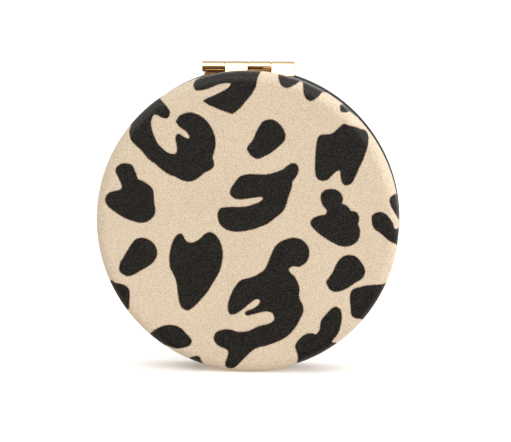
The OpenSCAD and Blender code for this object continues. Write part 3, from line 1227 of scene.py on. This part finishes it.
@dataclass
class AnimalPrint:
    """The lid's print: smooth closed spots, each through points read off the photograph."""

    camera: PhotoCamera
    cover: Cover
    steps: int = 5
    reach: float = 1.6 * MM
    least_radius: float = 0.001 * MM
    least_square: float = 1e-18
    least_rise: float = 1e-12

    def outline(self, spot: Sequence[Point]) -> np.ndarray:
        """Lays a spot's outline flat on the unrolled cover, as a smooth curve through its points.

        Args:
            spot: the pixels that the outline goes through, in order.

        Returns:
            The flat outline, as a closed row of points.
        """
        flat = []
        for pixel in spot:
            x, y = self.camera.on_face(pixel)
            radius = math.hypot(x, y)
            share = self.cover.run_of(radius) / max(radius, self.least_radius)
            flat.append((x * share, y * share))
        knots = np.array(flat)
        before, after, beyond = np.roll(knots, 1, 0), np.roll(knots, -1, 0), np.roll(knots, -2, 0)
        parts = []
        for step in range(self.steps):
            t = step / self.steps
            slope = (after - before) * t
            square = (2 * before - 5 * knots + 4 * after - beyond) * t ** 2
            cube = (3 * knots - before - 3 * after + beyond) * t ** 3
            parts.append(0.5 * (2 * knots + slope + square + cube))
        return np.stack(parts, axis=1).reshape(-1, 2)

    def signed(self, points: np.ndarray, outline: np.ndarray) -> np.ndarray:
        """Measures points against one outline.

        Args:
            points: flat places on the cover.
            outline: the spot's flat outline.

        Returns:
            Each point's distance to the outline, below zero inside it.
        """
        start = outline[None, :, :]
        along = np.roll(outline, -1, 0)[None, :, :] - start
        offset = points[:, None, :] - start
        square = np.maximum((along ** 2).sum(2), self.least_square)
        share = np.clip((offset * along).sum(2) / square, 0, 1)
        gap = np.sqrt(((offset - along * share[..., None]) ** 2).sum(2)).min(1)
        end = start + along
        spans = (start[..., 1] > points[:, None, 1]) != (end[..., 1] > points[:, None, 1])
        rise = np.where(np.abs(along[..., 1]) < self.least_rise, self.least_rise, along[..., 1])
        crossing = start[..., 0] + along[..., 0] * offset[..., 1] / rise
        inside = (spans & (points[:, None, 0] < crossing)).sum(1) % 2 == 1
        return np.where(inside, -gap, gap)

    def distances(self, flat: np.ndarray, shown: np.ndarray) -> np.ndarray:
        """Measures every point of the cover against all spots.

        Args:
            flat: flat place of each point.
            shown: which points lie on the printed outside.

        Returns:
            Distance to the nearest spot in millimetres, below zero inside a spot.
        """
        result = np.full(len(flat), self.reach)
        for spot in SPOTS_PX.values():
            outline = self.outline(spot)
            low = outline.min(0) - self.reach
            high = outline.max(0) + self.reach
            near = np.flatnonzero(shown & (flat > low).all(1) & (flat < high).all(1))
            result[near] = np.minimum(result[near], self.signed(flat[near], outline))
        return (result / MM).astype(np.float32)


class Turned(Recipe):
    """A recipe that carries a section once round a vertical axis."""

    HUB = 1 * MM

    def __init__(self, name: str, section: Sequence[Point], closed: bool, sectors: int) -> None:
        """Starts the tree with the turned surface.

        Args:
            name: the name of the piece.
            section: radius and height of each place of the section, in order.
            closed: whether the section is a ring's, and not one from axis to axis.
            sectors: how many steps the turn has.
        """
        super().__init__(name)
        data = bpy.data.curves.new(f"{name}_section", "CURVE")
        spline = data.splines.new("POLY")
        spline.points.add(len(section) - 1)
        for point, (radius, height) in zip(spline.points, section):
            point.co = (radius - self.HUB, -height, 0.0, 1.0)
        spline.use_cyclic_u = closed
        self.guide = Workshop.piece(f"{name}_section", data)
        hub = self.size("Hub radius", self.HUB)
        count = self.size("Sectors", sectors)
        guide = self.add("GeometryNodeObjectInfo", {"Object": self.guide}).outputs["Geometry"]
        self.surface = self.swept(self.circle(count, hub), guide)

    def finish(self, material: bpy.types.Material, shape: Socket | None = None) -> bpy.types.Object:
        """Bakes the piece and removes its section.

        Args:
            material: what the piece is made of.
            shape: the finished geometry, or None for the turned surface alone.

        Returns:
            The piece.
        """
        piece = self.bake(shape or self.surface, material)
        data = self.guide.data
        bpy.data.objects.remove(self.guide)
        bpy.data.curves.remove(data)
        return piece


@dataclass
class MirrorSeat:
    """What one half holds inside: foam, shell, adhesive disc, glass, gilt ring, frame and magnets."""

    half: Half
    shoulder: float
    cover_t: float
    sectors: int = 180
    glass_bevel: float = 0.3 * MM
    hollow_r: float | None = None
    hollow_steps: int = 60
    bezel_w: float = 1.7 * MM
    bezel_crown: float = 0.35 * MM
    crown_steps: int = 14
    edge_round: float = 0.04 * MM
    foam_gap: float = 0.03 * MM
    foam_steps: int = 7
    foam_fill: float = 0.85

    def glass(self, finishes: Finishes) -> bpy.types.Object:
        """Builds the mirror: flat with a bevel, or with its face hollowed by a large sphere.

        Args:
            finishes: the materials.

        Returns:
            The mirror.
        """
        box = self.half.box("mirror")
        radius = box[1].x
        back, front = self.half.ends(box)
        up = self.half.up
        section = [(0.0, back), (radius, back)]
        if self.hollow_r is None:
            bevel = self.glass_bevel
            section += [(radius, front - up * bevel), (radius - bevel, front), (0.0, front)]
        else:
            opening = self.half.box("bezel")[1].x - self.bezel_w
            edge = math.sqrt(self.hollow_r ** 2 - opening ** 2)
            section.append((radius, front))
            for step in range(self.hollow_steps, -1, -1):
                place = opening * step / self.hollow_steps
                sag = math.sqrt(self.hollow_r ** 2 - place ** 2) - edge
                section.append((place, front - up * sag))
        recipe = Turned(self.half.node("mirror_glass"), section, False, self.sectors)
        return self.finished(recipe, finishes, "mirror_glass", "mirror")

    def bezel(self, finishes: Finishes) -> bpy.types.Object:
        """Builds the crowned gilt ring that is pressed in over the mirror's edge.

        Args:
            finishes: the materials.

        Returns:
            The ring.
        """
        box = self.half.box("bezel")
        outer = box[1].x
        inner = outer - self.bezel_w
        back, front = self.half.ends(box)
        up = self.half.up
        brow = front - up * self.bezel_crown
        edge = self.edge_round
        section = [(inner + edge, back), (outer - edge, back), (outer, back + up * edge)]
        for step in range(self.crown_steps + 1):
            across = 1 - 2 * step / self.crown_steps
            place = outer - self.bezel_w / 2 + across * self.bezel_w / 2
            section.append((place, brow + up * self.bezel_crown * (1 - across ** 2)))
        section.append((inner, back + up * edge))
        recipe = Turned(self.half.node("gilt_ring"), section, True, self.sectors * 2)
        return self.finished(recipe, finishes, "gilt_brass", "bezel")

    def foam(self, finishes: Finishes) -> bpy.types.Object:
        """Builds the foam disc that gives the cover its soft shoulder.

        Args:
            finishes: the materials.

        Returns:
            The disc.
        """
        box = self.half.box("foam_pad")
        back, front = self.half.ends(box)
        up = self.half.up
        gap = self.foam_gap
        radius = box[1].x - gap
        arc = self.shoulder - self.cover_t
        section = [(0.0, back + up * gap)]
        for step in range(self.foam_steps + 1):
            angle = math.pi / 2 * step / self.foam_steps
            drop = min(arc * (1 - math.cos(angle)) + gap, abs(front - back) - gap)
            section.append((radius - arc + arc * math.sin(angle), back + up * drop))
        section += [(radius, front - up * gap), (0.0, front - up * gap)]
        recipe = Turned(self.half.node("foam_disc"), section, False, self.sectors // 2)
        pad = self.finished(recipe, finishes, "foam", "foam_pad")
        return pad

    def finished(self, recipe: Turned, finishes: Finishes, slot: str, node: str) -> bpy.types.Object:
        """Bakes a piece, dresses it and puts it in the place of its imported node.

        Args:
            recipe: the piece's recipe.
            finishes: the materials.
            slot: its material slot.
            node: the kind of node that it stands for.

        Returns:
            The piece.
        """
        piece = recipe.finish(finishes.of(slot))
        finishes.dress(piece, slot)
        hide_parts(self.half.node(node))
        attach(piece, self.half.value)
        return piece

    def make(self, finishes: Finishes) -> list[bpy.types.Object]:
        """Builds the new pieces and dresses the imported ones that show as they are.

        Args:
            finishes: the materials.

        Returns:
            All of these pieces.
        """
        pieces = [self.foam(finishes), self.glass(finishes), self.bezel(finishes)]
        kept = {
            "shell": "shell_plastic",
            "frame": "frame_plastic",
            "mirror_tape": "adhesive_tissue",
            "magnets": "plated_magnet",
        }
        for node, slot in kept.items():
            pieces.append(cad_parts[self.half.node(node)])
            finishes.dress(pieces[-1], slot)
        return pieces


@dataclass
class HingeLeaf:
    """One stamped leaf of gilt sheet with two knuckles rolled round the pin, and its two rivets."""

    half: Half
    first: int
    sheet: float = 0.4 * MM
    knuckles: int = 4
    knuckle_gap: float = 0.12 * MM
    hinge_l: float = 21.2 * MM
    knuckle_d: float = 2.3 * MM
    leaf_depth: float = 3.4 * MM
    wrap: float = math.radians(296)
    lead: float = 0.0
    strip_y: float = 34.3 * MM
    crank: float = 0.5 * MM
    edge_round: float = 0.12 * MM
    edge_steps: int = 2
    path_points: int = 84
    rivets_in_row: int = 2
    rivet_pitch: float = 13 * MM
    rivet_d: float = 1.1 * MM
    rivet_gap: float = 0.07 * MM
    rivet_head_t: float = 0.25 * MM
    rivet_dome: float = 0.07 * MM
    rivet_tail_share: float = 0.85
    rivet_sectors: int = 40
    dome_steps: int = 6
    axis: Vector = field(init=False)
    plate: Box = field(init=False)

    def __post_init__(self) -> None:
        """Takes the pin's axis and the leaf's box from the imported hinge."""
        low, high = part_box("hinge_pin")
        self.axis = (low + high) / 2
        self.plate = self.half.box("hinge_leaf")

    @property
    def leaf_w(self) -> float:
        """Width of the leaf inside the case."""
        return 2 * min(abs(self.plate[0].x), abs(self.plate[1].x))

    @property
    def knuckle_w(self) -> float:
        """Length of one knuckle along the pin."""
        return (self.hinge_l - (self.knuckles - 1) * self.knuckle_gap) / self.knuckles

    def knuckle_x(self, index: int) -> float:
        """Returns the middle of a knuckle along the pin."""
        return -self.hinge_l / 2 + self.knuckle_w / 2 + index * (self.knuckle_w + self.knuckle_gap)

    def roll_path(self, recipe: Recipe) -> Socket:
        """Bends a line into the way of the sheet: out of the case, then round the pin.

        The line is measured from the strip's start. As far as the straight run it leads out at
        the lead angle, with a crank back to the level of the leaf, and past it it is wrapped.

        Args:
            recipe: the tree that it goes into.

        Returns:
            The curve along the middle of the sheet.
        """
        roll_r = (self.knuckle_d - self.sheet) / 2
        level_share = math.cos(self.lead)
        slope_share = math.sin(self.lead)
        straight_run = (self.axis.y + roll_r * slope_share - self.strip_y) / level_share
        crank_run = straight_run - self.crank / level_share
        rise = roll_r * level_share + straight_run * slope_share - roll_r
        radius = recipe.size("Roll radius", roll_r)
        lead = recipe.size("Lead angle", self.lead)
        wrap = recipe.size("Wrap angle", self.wrap)
        straight = recipe.size("Straight run", straight_run)
        curve, share = recipe.line(self.path_points)
        arc_run = recipe.math("MULTIPLY", radius, recipe.math("SUBTRACT", wrap, lead))
        run = recipe.math("MULTIPLY", share, recipe.math("ADD", straight, arc_run))
        past = recipe.math("MAXIMUM", recipe.math("SUBTRACT", run, straight), 0.0)
        left = recipe.math("MAXIMUM", recipe.math("SUBTRACT", straight, run), 0.0)
        angle = recipe.math("ADD", lead, recipe.math("DIVIDE", past, radius))
        turn_y = recipe.math("MULTIPLY", radius, recipe.math("SINE", angle))
        turn_z = recipe.math("MULTIPLY", radius, recipe.math("COSINE", angle))
        back_y = recipe.math("MULTIPLY", left, recipe.math("COSINE", lead))
        back_z = recipe.math("MULTIPLY", left, recipe.math("SINE", lead))
        y = recipe.math("ADD", recipe.math("SUBTRACT", turn_y, back_y), recipe.size("Axis Y", self.axis.y))
        ends = (recipe.size("Crank start", crank_run), straight, 0.0, recipe.size("Crank rise", rise))
        level = recipe.math("SUBTRACT", recipe.math("ADD", turn_z, back_z), recipe.fit(left, *ends))
        drop = recipe.math("MULTIPLY", level, -self.half.up)
        z = recipe.math("ADD", drop, recipe.size("Axis Z", self.axis.z))
        inputs = {"Curve": recipe.bent(curve, recipe.vector(0.0, y, z)), "Normal": (1.0, 0.0, 0.0)}
        return recipe.add("GeometryNodeSetCurveNormal", inputs, mode="FREE").outputs[0]

    def strip_section(self, recipe: Recipe) -> Socket:
        """Draws the sheet's section, one knuckle wide, with its cut edges rounded.

        Args:
            recipe: the tree that it goes into.

        Returns:
            The closed curve of the section.
        """
        width = recipe.size("Knuckle width", self.knuckle_w)
        strip = recipe.rectangle(width, recipe.size("Sheet thickness", self.sheet))
        radius = recipe.size("Edge radius", self.edge_round)
        inputs = {"Curve": strip, "Count": self.edge_steps, "Radius": radius}
        return recipe.add("GeometryNodeFilletCurve", inputs, mode="POLY").outputs[0]

    def rolled(self, recipe: Recipe) -> Socket:
        """Carries the sheet's section along the roll and sets it at every second knuckle.

        Args:
            recipe: the tree that it goes into.

        Returns:
            The leaf's knuckles.
        """
        knuckle = recipe.swept(self.roll_path(recipe), self.strip_section(recipe), caps=True)
        first = recipe.size("First knuckle", self.knuckle_x(self.first))
        step = recipe.size("Knuckle step", 2 * (self.knuckle_w + self.knuckle_gap))
        return recipe.repeated(knuckle, self.knuckles // 2, recipe.vector(first), recipe.vector(step))

    def in_rivet_row(self, recipe: Recipe, shape: Socket, y: Value = 0.0) -> Socket:
        """Sets a shape at each rivet's place.

        Args:
            recipe: the tree that it goes into.
            shape: what is set there.
            y: the row's place along Y.

        Returns:
            The shapes, as instances.
        """
        pitch = recipe.size("Rivet pitch", self.rivet_pitch)
        start = recipe.vector(recipe.math("MULTIPLY", pitch, (1 - self.rivets_in_row) / 2), y)
        return recipe.repeated(shape, self.rivets_in_row, start, recipe.vector(pitch))

    def flat_plate(self, recipe: Recipe) -> Socket:
        """Stamps the flat part with its rivet holes.

        Args:
            recipe: the tree that it goes into.

        Returns:
            The plate.
        """
        outer_side, _ = self.half.ends(self.plate)
        middle_y = recipe.size("Leaf middle", self.plate[0].y + self.leaf_depth / 2)
        level = recipe.size("Leaf level", outer_side)
        width = recipe.size("Leaf width", self.leaf_w)
        outline = recipe.rectangle(width, recipe.size("Leaf depth", self.leaf_depth))
        hole = recipe.circle(self.rivet_sectors, recipe.size("Hole radius", self.rivet_d / 2))
        holes = recipe.real(self.in_rivet_row(recipe, hole))
        inputs = {"Curve": recipe.joined(outline, holes)}
        blank = recipe.add("GeometryNodeFillCurve", inputs, mode="NGONS").outputs[0]
        inputs = {
            "Mesh": blank,
            "Offset": recipe.vector(z=1.0),
            "Offset Scale": recipe.math("MULTIPLY", recipe.size("Plate thickness", self.sheet), self.half.up),
            "Individual": False,
        }
        top = recipe.add("GeometryNodeExtrudeMesh", inputs).outputs[0]
        bottom = recipe.add("GeometryNodeFlipFaces", {"Mesh": blank}).outputs[0]
        inputs = {"Geometry": recipe.joined(top, bottom), "Translation": recipe.vector(0.0, middle_y, level)}
        return recipe.add("GeometryNodeTransform", inputs).outputs[0]

    def leaf(self, finishes: Finishes) -> bpy.types.Object:
        """Builds the leaf with its knuckles.

        Args:
            finishes: the materials.

        Returns:
            The leaf.
        """
        recipe = Recipe(self.half.node("gilt_leaf"))
        shape = recipe.joined(self.rolled(recipe), self.flat_plate(recipe))
        leaf = recipe.bake(shape, finishes.of("gilt_brass"))
        finishes.dress(leaf, "gilt_brass")
        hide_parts(self.half.node("hinge_leaf"))
        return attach(leaf, self.half.value)

    def rivets(self, finishes: Finishes) -> bpy.types.Object:
        """Builds the rivets: an upset tail, a shank and a low domed head each.

        Args:
            finishes: the materials.

        Returns:
            The rivets of this leaf, as one piece.
        """
        box = self.half.box("rivets")
        low, high = box
        up = self.half.up
        tail, head = self.half.ends(box)
        under, _ = self.half.ends(self.plate)
        head_r = (high.y - low.y) / 2
        tail_r = head_r * self.rivet_tail_share
        shank_r = self.rivet_d / 2 - self.rivet_gap
        seat = head - up * self.rivet_head_t
        section = [(0.0, tail), (tail_r, tail), (tail_r, under)]
        section += [(shank_r, under), (shank_r, seat), (head_r, seat)]
        for step in range(self.dome_steps + 1):
            angle = math.pi / 2 * step / self.dome_steps
            drop = self.rivet_dome * (1 - math.sin(angle))
            section.append((head_r * math.cos(angle), head - up * drop))
        recipe = Turned(self.half.node("gilt_rivets"), section, False, self.rivet_sectors)
        row_y = recipe.size("Rivet row", (low.y + high.y) / 2)
        row = self.in_rivet_row(recipe, recipe.surface, row_y)
        rivets = recipe.finish(finishes.of("gilt_brass"), row)
        finishes.dress(rivets, "gilt_brass")
        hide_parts(self.half.node("rivets"))
        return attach(rivets, self.half.value)


@dataclass
class Studio:
    """A white table, with the shut case on edge on it, in a bright tent with one large lamp.

    The table is a plane under the case's edge away from the hinge. It is clear from beneath, so
    that the case can be looked at from every side, and the opened mirrors don't show it.
    """

    table: float = 4.0
    table_front: float = 0.14
    table_white: Colour = (0.65, 0.65, 0.65)
    table_bounce: Colour = (0.66, 0.66, 0.66)
    table_glow: Colour = (0.31, 0.26, 0.21)
    table_specular: float = 0.1
    speck: float = 0.5
    speck_low: float = 0.3
    speck_high: float = 0.7
    smooth: float = 0.88
    rough: float = 0.92
    tent_white: Colour = (1.0, 1.0, 1.0)
    tent_grey: Colour = (0.8, 0.8, 0.8)
    front_strength: float = 0.78
    front_angle: float = math.radians(20)
    side_strength: float = 1.02
    side_angle: float = math.radians(75)
    rear_strength: float = 0.7
    rear_angle: float = math.radians(115)
    top_strength: float = 1.2
    top_from: float = 0.35
    top_to: float = 0.9
    right_strength: float = 1.6
    right_from: float = 0.3
    right_to: float = 0.9
    strip_x: float = -0.086
    strip_half: float = 0.10
    strip_fade: float = 0.20
    glint_start: float = math.radians(12)
    glint_end: float = math.radians(72)
    glint_soft: float = math.radians(2.5)
    glint_strength: float = 3.4
    high_start: float = math.radians(25)
    high_full: float = math.radians(50)
    high_strength: float = 6.0
    dark: Colour = (0.24, 0.17, 0.11)
    beyond: Colour = (0.70, 0.70, 0.75)
    aside_front: float = 0.40
    aside_side: float = 0.85
    behind_from: float = -0.75
    behind_to: float = -0.92
    behind_strength: float = 0.12
    room_low: Colour = (0.30, 0.32, 0.34)
    room_high: Colour = (0.97, 0.98, 1.0)
    room_from: float = -0.32
    room_to: float = 0.10
    lamp_size: float = 0.5
    lamp_distance: float = 0.7
    lamp_lift: float = math.radians(46)
    lamp_turn: float = math.radians(22)
    lamp_power: float = 1.3

    def floor(self) -> None:
        """Lays the white table top, seen from above only, and dim in glossy reflections."""
        half = self.table / 2
        level = CAD_BOX[0].y
        front = self.table_front
        corners = [(-half, level, front), (half, level, front), (half, level, -half), (-half, level, -half)]
        mesh = bpy.data.meshes.new("table_top")
        mesh.from_pydata(corners, [], [(0, 1, 2, 3)])
        graph = ShaderGraph("white_table")
        path = graph.add("ShaderNodeLightPath").outputs
        grain = graph.grain(self.speck)
        white = graph.shader({
            "Base Color": graph.mix(path["Is Camera Ray"], self.table_bounce, self.table_white),
            "Roughness": graph.fit(grain, self.speck_low, self.speck_high, self.smooth, self.rough),
            "Specular IOR Level": self.table_specular,
            "Emission Color": self.table_glow,
            "Emission Strength": 1.0,
        })
        dim = graph.add("ShaderNodeEmission", {"Color": graph.full(self.dark)}).outputs[0]
        above = graph.shaders(path["Is Glossy Ray"], white, dim)
        clear = graph.add("ShaderNodeBsdfTransparent").outputs[0]
        beneath = graph.add("ShaderNodeNewGeometry").outputs["Backfacing"]
        unseen = graph.math("MAXIMUM", beneath, path["Is Singular Ray"])
        mesh.materials.append(graph.finish(graph.shaders(unseen, above, clear)))
        Workshop.piece("table_top", mesh)

    def soft_light(self, graph: Graph, way: Way) -> Socket:
        """Sets how strongly the tent lights the case: dim in front, bright above and on the right.

        Args:
            graph: the world's tree.
            way: X, Y and Z of a ray's way.

        Returns:
            The strength.
        """
        x, y, z = way
        aside = graph.math("ARCCOSINE", z)
        soft = graph.fit(aside, self.front_angle, self.side_angle, self.front_strength, self.side_strength)
        fall = self.rear_strength - self.side_strength
        rear = graph.fit(aside, self.side_angle, self.rear_angle, 0.0, fall)
        above = graph.fit(y, self.top_from, self.top_to, 0.0, self.top_strength)
        right = graph.fit(x, self.right_from, self.right_to, 0.0, self.right_strength)
        return graph.math("ADD", graph.math("ADD", soft, rear), graph.math("ADD", above, right))

    def shine(self, graph: Graph, way: Way) -> Socket:
        """Sets what glossy surfaces mirror.

        Around the camera's own side stands an upright strip: dark below, with a bright band above
        it and paler grey beyond. Beside the strip the tent is calm, and bright high up. Behind the
        case it is dim.

        Args:
            graph: the world's tree.
            way: X, Y and Z of a ray's way.

        Returns:
            The shader of the glossy view.
        """
        x, y, z = way
        tilt = graph.math("ARCTAN2", y, z)
        start = graph.fit(tilt, self.glint_start - self.glint_soft, self.glint_start + self.glint_soft)
        end = graph.fit(tilt, self.glint_end - self.glint_soft, self.glint_end + self.glint_soft)
        glint = graph.backdrop(self.tent_grey, self.glint_strength)
        band = graph.shaders(start, graph.backdrop(self.dark), glint)
        strip = graph.shaders(end, band, graph.backdrop(self.beyond))
        wide = graph.fit(z, 0.0, 1.0, self.aside_side, self.aside_front)
        high = graph.fit(tilt, self.high_start, self.high_full, 0.0, self.high_strength)
        high = graph.math("MULTIPLY", high, graph.math("SUBTRACT", 1.0, end))
        calm = graph.backdrop(self.tent_grey, graph.math("ADD", wide, high))
        off = graph.math("ABSOLUTE", graph.math("SUBTRACT", x, self.strip_x))
        front = graph.shaders(graph.fit(off, self.strip_half, self.strip_fade), strip, calm)
        behind = graph.fit(z, self.behind_from, self.behind_to)
        return graph.shaders(behind, front, graph.backdrop(self.tent_grey, self.behind_strength))

    def room(self, graph: Graph, way: Way) -> Socket:
        """Sets what the mirror glass shows: a plain room, paler above and to the right.

        Args:
            graph: the world's tree.
            way: X, Y and Z of a ray's way.

        Returns:
            The shader of the room.
        """
        x, y, _ = way
        share = graph.fit(graph.math("ADD", x, y), self.room_from, self.room_to)
        return graph.backdrop(graph.mix(share, self.room_low, self.room_high))

    def tent(self) -> None:
        """Hangs the tent. It is white to the camera and differs for light, gloss and mirrors."""
        world = bpy.data.worlds.new("tent")
        bpy.context.scene.world = world
        world.use_nodes = True
        graph = Graph(world.node_tree)
        graph.tree.nodes.clear()
        around = graph.add("ShaderNodeTexCoord").outputs["Generated"]
        way = tuple(graph.add("ShaderNodeSeparateXYZ", {"Vector": around}).outputs)
        path = graph.add("ShaderNodeLightPath").outputs
        strength = graph.fit(path["Is Camera Ray"], 0.0, 1.0, self.soft_light(graph, way), 1.0)
        light = graph.backdrop(self.tent_white, strength)
        lit = graph.shaders(path["Is Glossy Ray"], light, self.shine(graph, way))
        full = graph.shaders(path["Is Singular Ray"], lit, self.room(graph, way))
        graph.add("ShaderNodeOutputWorld", {"Surface": full})

    def lamp(self) -> None:
        """Hangs the large soft lamp above and to the right, in front of the case."""
        data = bpy.data.lights.new("soft_lamp", "AREA")
        data.shape = "DISK"
        data.size = self.lamp_size
        data.energy = self.lamp_power
        lamp = Workshop.piece("soft_lamp", data)
        level = math.cos(self.lamp_lift)
        turn = self.lamp_turn
        way = Vector((level * math.cos(turn), level * math.sin(turn), math.sin(self.lamp_lift)))
        lamp.rotation_mode = "QUATERNION"
        lamp.rotation_quaternion = way.to_track_quat("Z", "Y")
        lamp.location = way * self.lamp_distance

    def make(self) -> None:
        """Sets the stage and the view's plain tone."""
        bpy.context.scene.view_settings.view_transform = "Standard"
        self.floor()
        self.tent()
        self.lamp()


def main() -> None:
    """Builds the whole scene in order and reports each piece."""
    logging.basicConfig(level=logging.INFO, format="%(name)s: %(message)s")
    camera = PhotoCamera()
    camera.make()
    Studio().make()
    finishes = Finishes()
    lid = Cover(Half.LID, "printed_suede", shoulder=2.5 * MM, spacing=0.3 * MM, notch_depth=4.2 * MM)
    base = Cover(Half.BASE, "black_leatherette", shoulder=2.0 * MM, spacing=0.5 * MM)
    made = [lid.make(finishes, AnimalPrint(camera, lid)), base.make(finishes)]
    made += MirrorSeat(Half.LID, lid.shoulder, lid.thickness).make(finishes)
    made += MirrorSeat(Half.BASE, base.shoulder, base.thickness, hollow_r=620 * MM).make(finishes)
    lid_leaf = HingeLeaf(Half.LID, first=1, lead=math.radians(12), strip_y=33.1 * MM)
    for leaf in (HingeLeaf(Half.BASE, first=0), lid_leaf):
        made += [leaf.leaf(finishes), leaf.rivets(finishes)]
    made.append(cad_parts["hinge_pin"])
    finishes.dress(made[-1], "gilt_brass")
    for piece in made:
        log.info("%s: %d faces", piece.name, len(piece.data.polygons))


if __name__ == "__main__":
    main()
